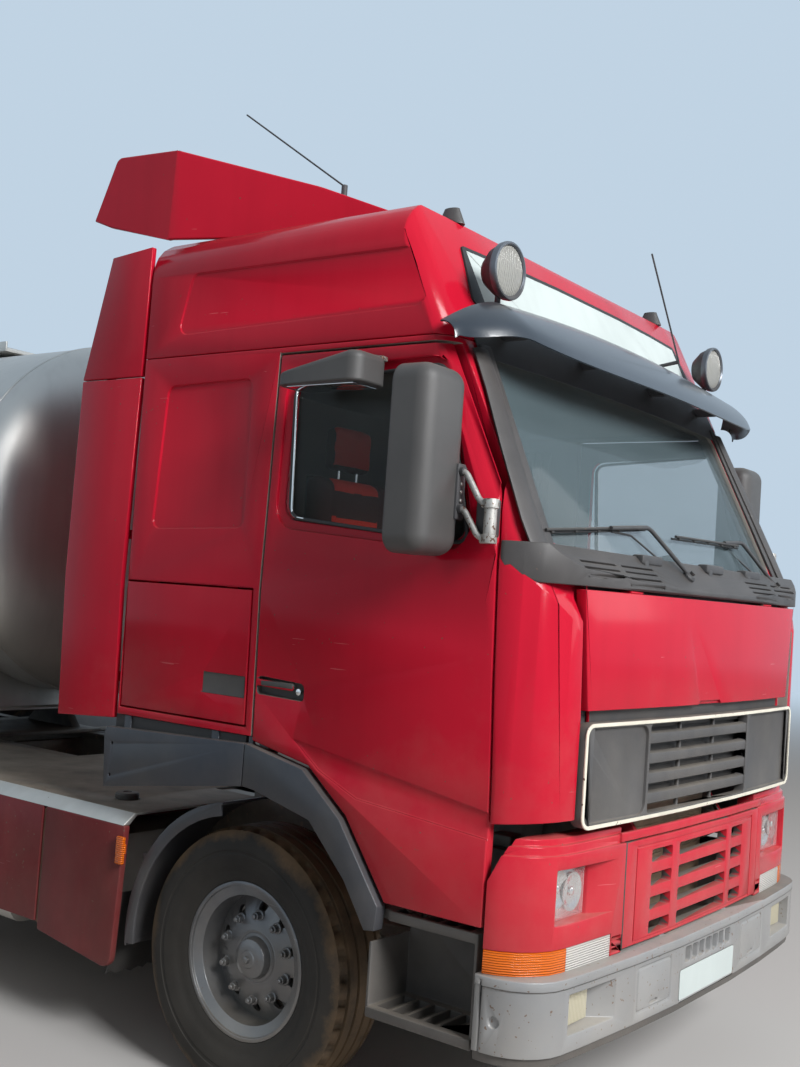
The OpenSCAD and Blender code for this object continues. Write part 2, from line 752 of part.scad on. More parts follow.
// Roof: side profile with a rounded front, section with rounded shoulders
module roof_form(d = 0) {
    back = -cab_back + d;
    rise = (roof_top_z - roof_seam_z) * (screen_low_x - screen_top_x) / (roof_seam_z - screen_low_z);
    intersection() {
        side_plate(-half, cab_w) polygon(rounded([[back, roof_seam_z + 3 - d, 0], [screen_top_x + 8 - d,
            roof_seam_z + 3 - d, 0],
            [screen_top_x + 8 - rise - d, roof_top_z - d, 220 - d], [back, roof_top_z - d, 60 - min(d, 50)]], 6));
        cross_plate(-cab_back - 20, 1800) polygon(rounded([[-half + side_lean + d, roof_seam_z - 60, 0],
            [half - side_lean - d, roof_seam_z - 60, 0],
            [half - side_lean * 1.5 - d, roof_top_z - d, 190 - d], [-half + side_lean * 1.5 + d,
                roof_top_z - d, 190 - d]], 6));
        translate([0, 0, 1000]) linear_extrude(3000) cab_plan(d);
        screen_prism(d);
    }
}

module cab_roof() {
    color(red) difference() {
        roof_form();
        roof_form(40);
        both() pressed() polygon(rounded([[-556, 2952, 40], [720, 2972, 40], [652, 3190, 40], [-490, 3204, 40]]));
    }
}

module windscreen() {
    color(glass, 0.5) intersection() {
        difference() {
            screen_prism(15);
            screen_prism(25);
        }
        cross_plate(600, 900) screen_outline(seat_gap);
    }
}

module side_fairings() {
    color(red) both() {
        intersection() {
            difference() {
                side_plate(half - 90, 90) polygon([[-cab_back - 6, sill_z - 20], [-1120, sill_z - 45], [-1140,
                    2786], [-cab_back - 6, 2786]]);
                cab_form(25);
            }
            cab_form();
        }
        intersection() {
            difference() {
                side_plate(half - 90, 90) polygon([[-cab_back - 6, 2791], [-1140, 2791], [-1010, 3330],
                    [-cab_back - 6, 3350]]);
                cab_form(25);
            }
            cab_form();
        }
        // Brackets to the cab's rear wall
        for (z = [1500, 2100, 2700, 3150]) translate([-960, half - 80, z]) cube([960 - cab_back - seat_gap, 40,
            40]);
        side_plate(half - 58, 18) polygon([[-1000, 2700], [-1000, 2900], [-960, 2900], [-960, 2700]]);
    }
}

module deflector_plan(d = 0) {
    polygon([[-1300, -1150 + d], [-730, -1150 + d], [470, -700 + d], [470, 700 - d], [-730, 1150 - d], [-1300,
        1150 - d]]);
}

module roof_deflector() {
    color(red) difference() {
        intersection() {
            side_plate(-1150, 2300) polygon(rounded([[460, roof_top_z + seat_gap, 0], [-cab_back,
                roof_top_z + seat_gap, 0], [-1130, 3500, 0],
                [-1250, 3545, 0], [-1120, 3820, 40], [-730, 3792, 200], [-100, 3612, 600]]));
            linear_extrude(4000) deflector_plan();
        }
        intersection() {
            side_plate(-1150, 2300) polygon(rounded([[420, 3380, 0], [-1300, 3380, 0], [-1290, 3560, 0],
                [-1136, 3794, 40], [-735, 3766, 190],
                [-110, 3586, 600]]));
            linear_extrude(4000) deflector_plan(25);
        }
    }
}

// Outline of the wheel arch trim
arch_in = [[655, 784], [552, 934], [372, 1113], [93, 1178], [30, 1184], [-754, 1067]];

module arch_trims() {
    color(trim) both() {
        difference() {
            side_plate(half - 40, 50) polygon(concat([[-773, 1290], [-760, 1314]], [for (p = arch_out)
                [p.x - 8, p.y - 12]], [[700, 790]], arch_in));
            side_plate(half - 60, 56) polygon(concat([[-740, 1270], [-730, 1284]], [for (p = arch_out)
                [p.x - 26, p.y - 34]],
                [for (p = arch_in) [p.x + (p.x > 0 ? 16 : 12), p.y + 22]]));
            // Seam between the front and the rear piece, and two rivet holes
            translate([28, half - 50, 1000]) cube([4, 70, 500]);
            for (z = [1120, 1250]) axle_tube(-720, half + 10, z, 30, 7);
        }
        // Arms up to the sill
        for (x = [-690, -180]) translate([x, half - 38, 1200]) cube([40, 16, sill_z - seat_gap - 1200]);
        translate([20, half - 38, 1180]) cube([24, 16, sill_z - seat_gap - 1180]);
    }
}

module scuttle() {
    color(trim) {
        difference() {
            intersection() {
                side_plate(-half, cab_w) polygon([[1343, 2020], [1343, 2034], [1238, 2146], [1100, 2146],
                    [1100, screen_low_z + seat_gap],
                    [1320, screen_low_z + seat_gap], [1320, 2020]]);
                linear_extrude(3000) cab_plan(0.5);
            }
            screen_prism(-seat_gap);
            // Air slots
            for (y = [-1026, -722, 460, 766]) intersection() {
                translate([1200, y, 2020]) cube([200, 262, 200]);
                for (k = [0:3]) translate([1330 - 19 * k, y, 2040 + 20 * k - 14]) rotate([0, -43, 0]) cube([30,
                    262, 9]);
            }
        }
        // Trims up the pillars
        intersection() {
            difference() {
                screen_prism(-12);
                screen_prism(-seat_gap);
            }
            cross_plate(600, 800) {
                for (s = [1, -1]) polygon([[s * 1048, 2147], [s * 1112, 2147], [s * 1062, 2854], [s * 1000, 2854]]);
            }
        }
    }
}

// A sheet across the front whose ends droop, drawn in Y and height above the sheet
module visor_band() {
    polygon(concat([for (a = [0:15:75]) [1000 + 235 * sin(a), -235 * (1 - cos(a)) * 0.55]],
        [for (a = [75:-15:0]) [1000 + 229 * sin(a), -6 - 235 * (1 - cos(a)) * 0.55]]));
    square_at(0, -6, 1000.5, 0);
}

module visor() {
    color(trim) difference() {
        union() {
            intersection() {
                translate([866, 0, 2968]) rotate([0, 132, 0]) rotate([0, 0, 90]) linear_extrude(360)
                    both_flat() visor_band();
                linear_extrude(4000) polygon(rounded([[600, -half + 12, 0], [1108, -half + 12, 290], [1108,
                    half - 12, 290], [600, half - 12, 0]], 6));
            }
            // Holders on the roof's front
            for (y = [-900, -330, 290, 860]) translate([740, y, 2900]) cube([160, 30, 44]);
        }
        screen_prism(-seat_gap);
        // The ends stay above the doors
        translate([0, -half, 0]) cube([1000, cab_w, 2846]);
    }
}

module both_flat() {
    children();
    mirror([1, 0]) children();
}

module roof_lamps() {
    color(steel) both() {
        translate([784, 945, 3143]) rotate([0, 90, 0]) rotate_extrude() polygon([[0, 0], [52, 0], [88, 40],
            [105, 84], [105, 97],
            [96, 97], [92, 88], [0, 84]]);
        difference() {
            union() {
                rod([832, 945, 3060], [832, 945, 2985], 11);
                translate([700, 930, 2985]) cube([145, 30, 20]);
            }
            screen_prism(-seat_gap);
        }
        difference() {
            translate([555, 880, roof_top_z - 30]) scale([1.8, 1, 1]) cylinder(h = 66, r1 = 34, r2 = 18);
            roof_form(-seat_gap);
        }
    }
    // Blank sign panel on the roof's front
    color("white") intersection() {
        difference() {
            screen_prism(-8);
            screen_prism(-seat_gap);
        }
        cross_plate(500, 800) polygon(round_rect_taper(1000, 3022, 945, 3264, 20));
    }
}

module dashboard() {
    color(plastic) {
        intersection() {
            side_plate(-1120, 2240) polygon(rounded([[880, 1700, 40], [1185, 1640, 0], [1185, 2010, 0], [1010,
                2040, 60], [850, 1960, 40]]));
            translate([0, 0, 1000]) linear_extrude(2000) cab_plan(wall + 15);
            screen_prism(wall + 15);
        }
        // Binnacle, steering column and wheel
        translate([0, 600, 0]) {
            side_plate(-210, 420) polygon(rounded([[845, 1940, 20], [1000, 2000, 0], [1020, 2090, 30], [900,
                2092, 30]]));
            rod([1000, 0, 1900], [775, 0, 1990], 32);
            translate([760, 0, 2000]) rotate([0, -62, 0]) {
                rotate_extrude() translate([222, 0]) circle(16);
                cylinder(h = 40, r = 60, center = true);
                for (a = [0, 120, 240]) rotate([0, 0, a]) translate([0, -18, -8]) cube([222, 36, 16]);
            }
        }
    }
}

module seats() {
    color("darkred") {
        for (y = [-600, 600]) {
            bar(20, y, floor_z + seat_gap, 340, 320, 300);
            side_plate(y - 260, 520) polygon(rounded([[-60, floor_z + 290, 30], [460, floor_z + 300, 40], [470,
                floor_z + 420, 60],
                [60, floor_z + 400, 20], [-40, floor_z + 1010, 60], [-150, floor_z + 1010, 40], [-110,
                    floor_z + 320, 30]]));
            side_plate(y - 140, 280) polygon(rounded([[-60, floor_z + 1000, 10], [-56, floor_z + 1210, 40],
                [-160, floor_z + 1210, 40],
                [-140, floor_z + 1000, 10]]));
        }
        // Bunk on its base
        bar(-cab_back + wall + 10, 0, floor_z + seat_gap, 400, 1900, 420);
        bar(-cab_back + wall + 10, 0, floor_z + 420, 440, 2000, 140);
    }
}

module locker_lid() {
    intersection() {
        difference() {
            side_plate(-half - 5, 60) locker_outline(shut_gap);
            cab_form(25);
            // Recess of the blank side plate
            difference() {
                side_plate(-half - 5, 60) polygon([[-235, 1510], [-12, 1510], [-12, 1590], [-235, 1590]]);
                cab_form(4);
            }
        }
        cab_form();
    }
}

// What lies outside the cab's form drawn in by d, near the right-hand side
module side_cut(d) {
    difference() {
        side_plate(-half - 20, 100) children();
        cab_form(d);
    }
}

module door() {
    difference() {
        intersection() {
            side_plate(-half, wall) door_outline();
            cab_form();
            translate([0, 0, 500]) linear_extrude(3000) cab_plan();
            screen_bound();
        }
        side_plate(-half - 20, wall + 60) window_outline();
        side_cut(14) window_outline(-34);
        // Crease below the handle line
        side_cut(8) polygon([[250, 1386], [700, 1318], [1150, 1248], [1150, 1166], [560, 1216], [380, 1290]]);
        // Handle recess, its grip left standing
        difference() {
            side_cut(30) polygon(rounded([[54, 1534, 14], [288, 1528, 14], [288, 1590, 20], [54, 1602, 20]]));
            side_plate(-half - 5, 20) polygon(rounded([[40, 1566, 0], [236, 1560, 10], [236, 1584, 10], [40,
                1592, 0]]));
        }
    }
}

module door_glass() {
    intersection() {
        difference() {
            side_plate(-half, 60) window_outline(seat_gap);
            cab_form(22);
        }
        cab_form(16);
    }
}

// Rear-view mirror housing on two arms from the door's front edge
module mirror_set() {
    difference() {
        intersection() {
            translate([0, 0, 2080]) linear_extrude(630) polygon(rounded([[800, -1495, 20], [900, -1500, 60],
                [958, -1430, 60], [958, -1330, 60],
                [900, -1262, 50], [800, -1268, 20]]));
            cross_plate(780, 200) polygon(round_rect(-1500, 2080, -1262, 2710, 60));
        }
        cross_plate(790, 16) polygon(round_rect(-1484, 2330, -1280, 2692, 40));
        cross_plate(790, 16) polygon(round_rect(-1484, 2098, -1280, 2312, 40));
    }
    for (z = [2232, 2336]) rod([900, -1300, z], [1082, -1292, z - 6], 13);
    translate([1085, -1290, 2130]) cylinder(h = 220, r = 22);
    difference() {
        side_plate(-1292, 140) polygon(rounded([[1010, 2190, 10], [1085, 2150, 10], [1095, 2270, 10], [1030,
            2280, 10]]));
        cab_form(-seat_gap);
    }
}

// Small kerb mirror over the right-hand window
module kerb_mirror() {
    difference() {
        side_plate(-1450, 190) polygon(rounded([[218, 2698, 12], [240, 2743, 20], [591, 2777, 20], [610, 2749,
            12], [522, 2670, 30], [419, 2661, 40]]));
        side_plate(-1438, 166) polygon([[440, 2650], [520, 2662], [500, 2690], [430, 2684]]);
    }
    difference() {
        side_plate(-1262, 70) polygon([[300, 2712], [520, 2730], [520, 2765], [300, 2745]]);
        cab_form(-seat_gap);
    }
}

module front_lid() {
    color(red) difference() {
        union() {
            intersection() {
                nose_layer(0, 38, 1590, 2010);
                cross_plate(1100, 300) lid_outline();
            }
            // Carrier of the upper grille
            intersection() {
                nose_layer(30 + seat_gap, 44, 1520, 1640);
                translate([1100, -900, 1500]) cube([300, 1800, 200]);
            }
        }
        // Grip slot in the lower edge
        intersection() {
            nose_cut(12, 1590, 1640);
            cross_plate(1100, 300) polygon([[-120, 1590], [120, 1590], [100, 1612], [-100, 1612]]);
        }
    }
}

// Louvre blades of the upper grille: lowest one, pitch, height
blade_low = 1252;
blade_pitch = 72;
blade_h = 42;
blade_count = 4;

module upper_grille() {
    color(dark) {
        difference() {
            intersection() {
                nose_layer(-14, 30, 1200, 1564);
                cross_plate(1100, 300) polygon(round_rect(-990, 1205, 990, 1558, 56));
            }
            // Pocket that holds the blades, and the sunken end panels
            cross_plate(1200, 200) polygon(round_rect(-536, 1222, 386, 1541, 14));
            intersection() {
                nose_cut(0, 1200, 1564);
                cross_plate(1200, 200) {
                    polygon(round_rect(-968, 1224, -552, 1539, 40));
                    polygon(round_rect(402, 1224, 968, 1539, 40));
                }
            }
            // Notched strip beside the near panel
            intersection() {
                nose_cut(12, 1200, 1564);
                cross_plate(1200, 200) for (k = [0:3]) polygon(round_rect(-960, 1232 + 78 * k, -926,
                    1296 + 78 * k, 4));
            }
        }
        for (k = [0:blade_count - 1]) intersection() {
            nose_layer(-8, 28, 1200, 1564);
            translate([0, -537, blade_low + blade_pitch * k]) side_plate(0, 924)
                polygon([[1250, 10], [1318, 10], [1330, 0], [1400, 12], [1400, 26], [1330, blade_h], [1250,
                    blade_h]]);
        }
        // Stays between the blades
        for (y = [-240, 80]) intersection() {
            nose_layer(14, 28, 1215, 1550);
            translate([1200, y, 1200]) cube([200, 14, 360]);
        }
    }
}

// A steered knuckle: fork, pin, drum and hub, for the right-hand side
module knuckle() {
    color(dark) {
        pin_z = tyre_r - axle_drop;
        translate([0, -kingpin_y, pin_z - 88]) cylinder(h = 176, r = 25);
        for (z = [-88, 60.3]) translate([0, -kingpin_y, pin_z + z]) cylinder(h = 27.7, r = 44);
        difference() {
            translate([-45, -kingpin_y - 75, pin_z - 88]) cube([90, 75, 176]);
            translate([0, -kingpin_y, pin_z - 60.3]) cylinder(h = 120.6, r = 46.6);
        }
        axle_tube(0, -972.5, tyre_r, 75, hub_r);
        axle_tube(0, -kingpin_y - 70, tyre_r, 40, 90);
        axle_tube(0, -(front_track + 20 - seat_gap) + 25, tyre_r, 50, 120);
        // Steering arm
        translate([-190, -kingpin_y - 40, pin_z - 84]) cube([170, 40, 24]);
    }
}

// A tyre's section turned about the wheel's axis, its middle at the origin
module tyre(r, w, bead) {
    rotate([90, 0, 0]) rotate_extrude($fn = 40) polygon(rounded([[bead, -w / 2 + 35, 10], [r - 60, -w / 2, 30],
        [r, -w / 2 + 45, 30], [r, w / 2 - 45, 30], [r - 60, w / 2, 30], [bead, w / 2 - 35, 10]], 2));
}

// A wheel: rim of width w; outer face of its disc at the hub and where it joins the rim
module wheel(w, dish, join, hub) {
    r = rim_r - seat_gap;
    rotate([90, 0, 0]) difference() {
        rotate_extrude() polygon([[0, dish + 45], [48, dish + 45], [74, dish + 34], [80, dish], [hub + 8,
            dish], [r - 56, join],
            [r - 56, w / 2 - 24], [r - 16, w / 2 - 12], [r - 16, w / 2], [r, w / 2], [r, -w / 2], [r - 16, -w / 2],
            [r - 16, -w / 2 + 12], [r - 56, -w / 2 + 20], [r - 56, join - 20], [hub + 8, dish - 20], [0,
                dish - 20]]);
        for (a = [0:36:324]) rotate([0, 0, a + 18]) translate([hub + 52, 0, min(dish, join) - 60])
            cylinder(h = 180, r = 20, $fn = 24);
    }
}

module rim() {
    wheel(tyre_w - 75, 40, -10, 140);
}

module drive_wheels() {
    mid = twin_gap / 2 - drive_track;
    color(steel) axle_tube(0, mid, 0, 240, 128);
    color(rubber) for (y = [0, twin_gap]) translate([0, -drive_track + y, 0]) tyre(tyre_r, tyre_w, rim_r);
    color(steel) {
        translate([0, -drive_track, 0]) wheel(tyre_w - 75, 20 - twin_gap / 2, -62, 130);
        translate([0, -drive_track + twin_gap, 0]) mirror([0, 1, 0]) wheel(tyre_w - 75, 20 - twin_gap / 2, -62,
            130);
    }
}

module trailer_wheel() {
    color(rubber) tyre(trailer_tyre_r, trailer_tyre_w, rim_r);
    color(steel) {
        wheel(250, 100, 50, 140);
        axle_tube(0, 22.5, 0, 205, 100);
    }
}

module tank() {
    back = tank_lead - tank_shell;
    color("lightgray") {
        translate([back, 0, tank_z]) rotate([0, 90, 0]) {
            rotate_extrude($fn = 96) polygon(concat([[0, -head_depth]], [for (k = [1:6]) let(a = 15 * k)
                [tank_r * sin(a), -head_depth * cos(a)]], [for (k = [6:-1:1]) let(a = 15 * k)
                [tank_r * sin(a), tank_shell + head_depth * cos(a)]], [[0, tank_shell + head_depth]]));
            // Bands round the shell and the seams of the heads
            for (x = [0, 0.25, 0.5, 0.75, 1]) translate([0, 0, tank_shell * x - 30 * x - 6 * (0.5 - x)])
                difference() {
                cylinder(h = 30, r = tank_r + 6, $fn = 96);
                translate([0, 0, -1]) cylinder(h = 32, r = tank_r - 10);
            }
        }
        // Outlet under the rear end: neck, elbow tube and bored flange
        translate([back + 200, 0, 0]) {
            translate([0, 0, outlet_z - 55]) cylinder(h = tank_z - tank_r - outlet_z + 95, r = 55);
            difference() {
                union() {
                    translate([0, 0, outlet_z]) rotate([0, -90, 0]) cylinder(h = outlet_reach, r = 52);
                    translate([-outlet_reach + 16, 0, outlet_z]) rotate([0, -90, 0]) cylinder(h = 16,
                        r = outlet_pcd_r + 20);
                }
                translate([-outlet_reach - 1, 0, outlet_z]) rotate([0, 90, 0]) cylinder(h = 120, r = 40);
                for (a = [0:90:270]) rotate_at([-outlet_reach - 1, 0, outlet_z], a)
                    translate([0, outlet_pcd_r, 0]) rotate([0, 90, 0]) cylinder(h = 30, r = 9);
            }
        }
    }
}

outlet_z = 940;
outlet_reach = 380;

module rotate_at(p, a) {
    translate(p) rotate([a, 0, 0]) children();
}

// Depth of the tail lamps behind the trailer's bumper
lamp_depth = 40;

// Where the trailer's beams begin and end behind the coupling pin
beam_back = tank_lead - tank_shell - 360 + lamp_depth;
saddles = [beam_back + 400, -bogie_back - axle_pitch - 340, -bogie_back + axle_pitch + 340, -3800];

// A beam of I section along the rig from x0 to x1, its middle at y
module i_beam(x0, x1, y, z0, z1) {
    translate([x0, y, 0]) {
        for (z = [z0, z1 - 12]) translate([0, -45, z]) cube([x1 - x0, 90, 12]);
        translate([0, -5, z0]) cube([x1 - x0, 10, z1 - z0]);
    }
}

// A plate across the rig that carries the tank
module saddle(x, w, z0) {
    cross_plate(x, 16) difference() {
        polygon([[-w / 2, z0], [w / 2, z0], [w / 2 + 60, tank_z - tank_r + 330], [-w / 2 - 60,
            tank_z - tank_r + 330]]);
        translate([0, tank_z]) circle(tank_r + seat_gap, $fn = 240);
    }
}

module trailer_frame() {
    plate_z = coupling_z + plate_gap;
    bumper_x = tank_lead - tank_shell - trailer_reach + lamp_depth;
    color(steel) {
        bar(-1100, 0, plate_z, 1700, 1200, 12);
        translate([0, 0, coupling_z - 80]) cylinder(h = 90, r = kingpin_r);
        for (x = [-1000, -300, 500]) saddle(x, 1100, plate_z + 12);
        for (y = [-400, 400]) bar(-1100, y, plate_z + 12, 1616, 14, 120);
        both() {
            i_beam(beam_back, -3700, beam_y, beam_low, beam_top);
            // Neck from the coupling plate down to the beams
            side_plate(beam_y - 5, 10) polygon([[-1100, plate_z], [-1100, plate_z + 90], [-3700, beam_top],
                [-3720, beam_top], [-3720, beam_low + 20]]);
        }
        for (x = saddles) {
            saddle(x, 1300, beam_top);
            bar(x, 0, beam_low + 40, 16, 2 * beam_y - 10, beam_top - beam_low - 40);
        }
        // Rear bumper on its hangers
        bar(bumper_x, 0, 480, 90, 2300, 130);
        both() side_plate(beam_y - 45, 90) polygon([[bumper_x, 600], [bumper_x + 90, 600], [bumper_x + 110,
            beam_low], [beam_back + 60, beam_top],
            [beam_back, beam_top], [bumper_x, beam_low]]);
        // Carriers of the mudguards
        for (k = [-1.5:1:1.5]) bar(-bogie_back + k * axle_pitch, 0, beam_top - 60, 30, 2 * 1180, 40);
    }
}

module tail_lamps() {
    bumper_x = tank_lead - tank_shell - trailer_reach + lamp_depth;
    color("white") both() {
        translate([bumper_x - 30, 700, 492]) cube([30 - seat_gap, 400, 106]);
        for (y = [760, 900, 1040]) translate([bumper_x - 26, y, 545]) rotate([0, -90, 0])
            cylinder(h = lamp_depth - 26, r1 = 46, r2 = 40);
    }
    color("white") translate([bumper_x - 12, -260, 488]) cube([12 - seat_gap, 520, 112]);
    // Clearance lamps on the beams' rear
    color(amber) both() for (x = [-4200, -2900 - axle_pitch]) translate([x, beam_y + 45 + seat_gap, 1100])
        cube([80, 30, 40]);
}

// Places of the manholes along the trailer
manholes = [-2800, -6200];

module walkway() {
    deck_z = tank_z + tank_r + 6 + seat_gap;
    color(steel) {
        difference() {
            bar(tank_lead - tank_shell + 580, 0, deck_z, tank_shell - 1400, 500, 25);
            for (k = [0:9]) bar(tank_lead - tank_shell + 700 + 820 * k, 0, deck_z + 12, 640, 420, 20);
        }
        both() bar(tank_lead - tank_shell + 580, 250, deck_z, tank_shell - 1400, 12, 60);
        for (x = manholes) translate([x, 0, 0]) {
            translate([0, 0, deck_z + 19]) difference() {
                cylinder(h = tank_z + tank_r + 150 - deck_z - 19, r = 260);
                translate([0, 0, -1]) cylinder(h = 140, r = 250);
            }
            for (y = [-55, 40]) side_ear(y);
            for (a = [60:60:300]) rotate([0, 0, a + 90]) translate([262, -12, deck_z + 90]) cube([26, 24, 50]);
        }
        // Rear ladder
        for (y = [-170, 170]) rod([tank_lead - tank_shell - head_depth - 30, y, 620],
            [tank_lead - tank_shell - head_depth - 30, y, deck_z + 10], 16);
        for (z = [640, each [1240:310:3100]]) rod([tank_lead - tank_shell - head_depth - 30, -170, z],
            [tank_lead - tank_shell - head_depth - 30, 170, z], 12);
        for (y = [-170, 170]) rod([tank_lead - tank_shell - head_depth - 30, y, deck_z + 6],
            [tank_lead - tank_shell + 620, y, deck_z + 6], 16);
    }
}

// An ear of a manhole's hinge
module side_ear(x) {
    translate([x, 0, 0]) cross_plate(0, 15) difference() {
        polygon([[240, tank_z + tank_r + 90], [300, tank_z + tank_r + 90], [303, tank_z + tank_r + 165], [272,
            tank_z + tank_r + 165]]);
        translate([285, tank_z + tank_r + 155]) circle(10.3);
    }
}

module manhole_lid() {
    color(steel) translate([0, 0, tank_z + tank_r + 155]) {
        rotate_extrude() polygon([[0, 0], [265, 0], [265, 10], [240, 25], [120, 34], [0, 36]]);
        translate([-36, 230, 0]) cube([72, 44.7, 14]);
        rotate([0, 90, 0]) translate([0, 285, -56]) cylinder(h = 112, r = 10);
        translate([-36, 262, -6]) cube([72, 24, 12]);
        for (a = [-60, 0, 60]) rotate([0, 0, a - 90]) translate([200, -8, 8]) cube([70, 16, 22]);
    }
}

module landing_legs() {
    leg_x = -2530;
    color(dark) {
        both() {
            bar(leg_x, 760, 700, 120, 120, 480);
            bar(leg_x + 15, 760, 420, 90, 90, 300);
            bar(leg_x - 60, 760, 380, 240, 240, 25);
            bar(leg_x + 40, 760, 400, 40, 120, 60);
            rod([leg_x + 60, 760, 860], [leg_x - 500, 506, 1130], 18);
        }
        bar(leg_x + 30, 0, 1009.5, 60, 1500, 60);
        bar(leg_x + 30, 0, 800, 40, 1420, 40);
        rod([leg_x + 60, 820, 900], [leg_x + 60, 960, 900], 14);
    }
}

module trailer_axles() {
    color(dark) for (k = [-1:1]) translate([-bogie_back + k * axle_pitch, 0, 0]) {
        axle_tube(0, 0, trailer_tyre_r, 2 * (trailer_track - 125 - seat_gap), 65);
        both() {
            side_plate(beam_y - 40, 80) polygon([[-420, trailer_tyre_r + 70], [-80, trailer_tyre_r + 30], [60,
                trailer_tyre_r + 30], [560, trailer_tyre_r + 150],
                [560, trailer_tyre_r + 190], [20, trailer_tyre_r + 110], [-420, trailer_tyre_r + 110]]);
            // Hanger in front, air bellows behind
            side_plate(beam_y - 35, 70) polygon([[470, beam_low - seat_gap], [620, beam_low - seat_gap], [580,
                trailer_tyre_r + 130], [520, trailer_tyre_r + 130]]);
            translate([-340, beam_y, trailer_tyre_r + 100]) rotate_extrude() polygon([[0, 0], [90, 0], [125,
                50], [125, 110], [100, 145], [125, 180],
                [125, 240], [90, beam_low - seat_gap - trailer_tyre_r - 100], [0,
                    beam_low - seat_gap - trailer_tyre_r - 100]]);
            rod([-60, beam_y - 60, trailer_tyre_r + 40], [280, beam_y - 60, beam_low - 25], 22);
            // Brake chamber and drum
            axle_tube(0, trailer_track - 215, trailer_tyre_r, 150, 190);
        }
    }
}

module trailer_guards() {
    color(plastic) both() {
        for (k = [-1:1]) translate([-bogie_back + k * axle_pitch, 0, 0]) side_plate(850, 370)
            polygon(arc_band(0, trailer_tyre_r, 602, 10, 22, 158, 20));
        for (k = [-1:1]) translate([-bogie_back + k * axle_pitch, 0, 0]) side_plate(1212, 8)
            polygon(arc_band(0, trailer_tyre_r, 580, 23, 22, 158, 20));
    }
    // Side guards between the landing legs and the wheels
    color(steel) both() {
        for (z = [560, 800]) bar(-bogie_back + axle_pitch + 760, 1150, z, bogie_back - axle_pitch - 3500, 30, 110);
        for (x = [-bogie_back + axle_pitch + 900, -2900]) bar(x, 1118, 540, 60, 34, 440);
        for (x = [-bogie_back + axle_pitch + 900, -2900]) bar(x, 826, 940, 60, 600, 40);
    }
}

module antennas() {
    color(dark) {
        rod([-325, -500, 3775], [-987, -500, 4231], 4);
        translate([-325, -500, 3681]) cylinder(h = 100, r = 14);
        rod([880, 535, 3100], [905, 142, 3497], 4);
        rod([780, 535, 3085], [882, 535, 3100], 8);
    }
}

module at_wheel(x, y, r) {
    translate([x, y, r]) children();
}

on_tractor() frame();
on_tractor() fifth_wheel();
on_tractor() front_axle();
on_tractor() drive_axle();
on_tractor() drivetrain();
on_tractor() radiator();
on_tractor() side_tanks();
on_tractor() side_skirts();
on_tractor() deck();
on_tractor() mudguards();
on_tractor() bumper();
on_tractor() lamp_panel();
on_tractor() lower_grille();
on_tractor() lamps();
on_tractor() steps();
on_tractor() cab_body();
on_tractor() cab_roof();
on_tractor() windscreen();
on_tractor() side_fairings();
on_tractor() roof_deflector();
on_tractor() arch_trims();
on_tractor() scuttle();
on_tractor() visor();
on_tractor() roof_lamps();
on_tractor() dashboard();
on_tractor() seats();
on_tractor() color(red) locker_lid();  // locker_lid_r
on_tractor() color(red) mirror([0, 1, 0]) locker_lid();  // locker_lid_l
on_tractor() color(red) door();  // door_r
on_tractor() color(red) mirror([0, 1, 0]) door();  // door_l
on_tractor() color(glass, 0.5) door_glass();  // door_glass_r
on_tractor() color(glass, 0.5) mirror([0, 1, 0]) door_glass();  // door_glass_l
on_tractor() color(plastic) {  // mirror_r
    mirror_set();
    kerb_mirror();
}
on_tractor() color(plastic) mirror([0, 1, 0]) mirror_set();  // mirror_l
on_tractor() front_lid();
on_tractor() upper_grille();
on_tractor() knuckle();  // knuckle_r
on_tractor() mirror([0, 1, 0]) knuckle();  // knuckle_l
on_tractor() color(rubber) at_wheel(0, -front_track, tyre_r) tyre(tyre_r, tyre_w, rim_r);  // tyre_fr
on_tractor() color(rubber) at_wheel(0, front_track, tyre_r) tyre(tyre_r, tyre_w, rim_r);  // tyre_fl
on_tractor() color(steel) at_wheel(0, -front_track, tyre_r) rim();  // rim_fr
on_tractor() color(steel) at_wheel(0, front_track, tyre_r) mirror([0, 1, 0]) rim();  // rim_fl
on_tractor() at_wheel(-wheelbase, 0, tyre_r) drive_wheels();  // drive_wheels_r
on_tractor() at_wheel(-wheelbase, 0, tyre_r) mirror([0, 1, 0]) drive_wheels();  // drive_wheels_l
on_trailer() tank();
on_trailer() trailer_frame();
on_trailer() walkway();
on_trailer() landing_legs();
on_trailer() trailer_axles();
on_trailer() trailer_guards();
on_trailer() tail_lamps();
on_tractor() antennas();
on_trailer() translate([manholes[0], 0, 0]) manhole_lid();  // manhole_lid_1
on_trailer() translate([manholes[1], 0, 0]) manhole_lid();  // manhole_lid_2
on_trailer() at_wheel(-bogie_back + axle_pitch, -trailer_track, trailer_tyre_r) trailer_wheel();  // trailer_wheel_1r
on_trailer() at_wheel(-bogie_back + axle_pitch, trailer_track, trailer_tyre_r) mirror([0, 1, 0]) trailer_wheel();  // trailer_wheel_1l
on_trailer() at_wheel(-bogie_back, -trailer_track, trailer_tyre_r) trailer_wheel();  // trailer_wheel_2r
on_trailer() at_wheel(-bogie_back, trailer_track, trailer_tyre_r) mirror([0, 1, 0]) trailer_wheel();  // trailer_wheel_2l
on_trailer() at_wheel(-bogie_back - axle_pitch, -trailer_track, trailer_tyre_r) trailer_wheel();  // trailer_wheel_3r
on_trailer() at_wheel(-bogie_back - axle_pitch, trailer_track, trailer_tyre_r) mirror([0, 1, 0]) trailer_wheel();  // trailer_wheel_3l
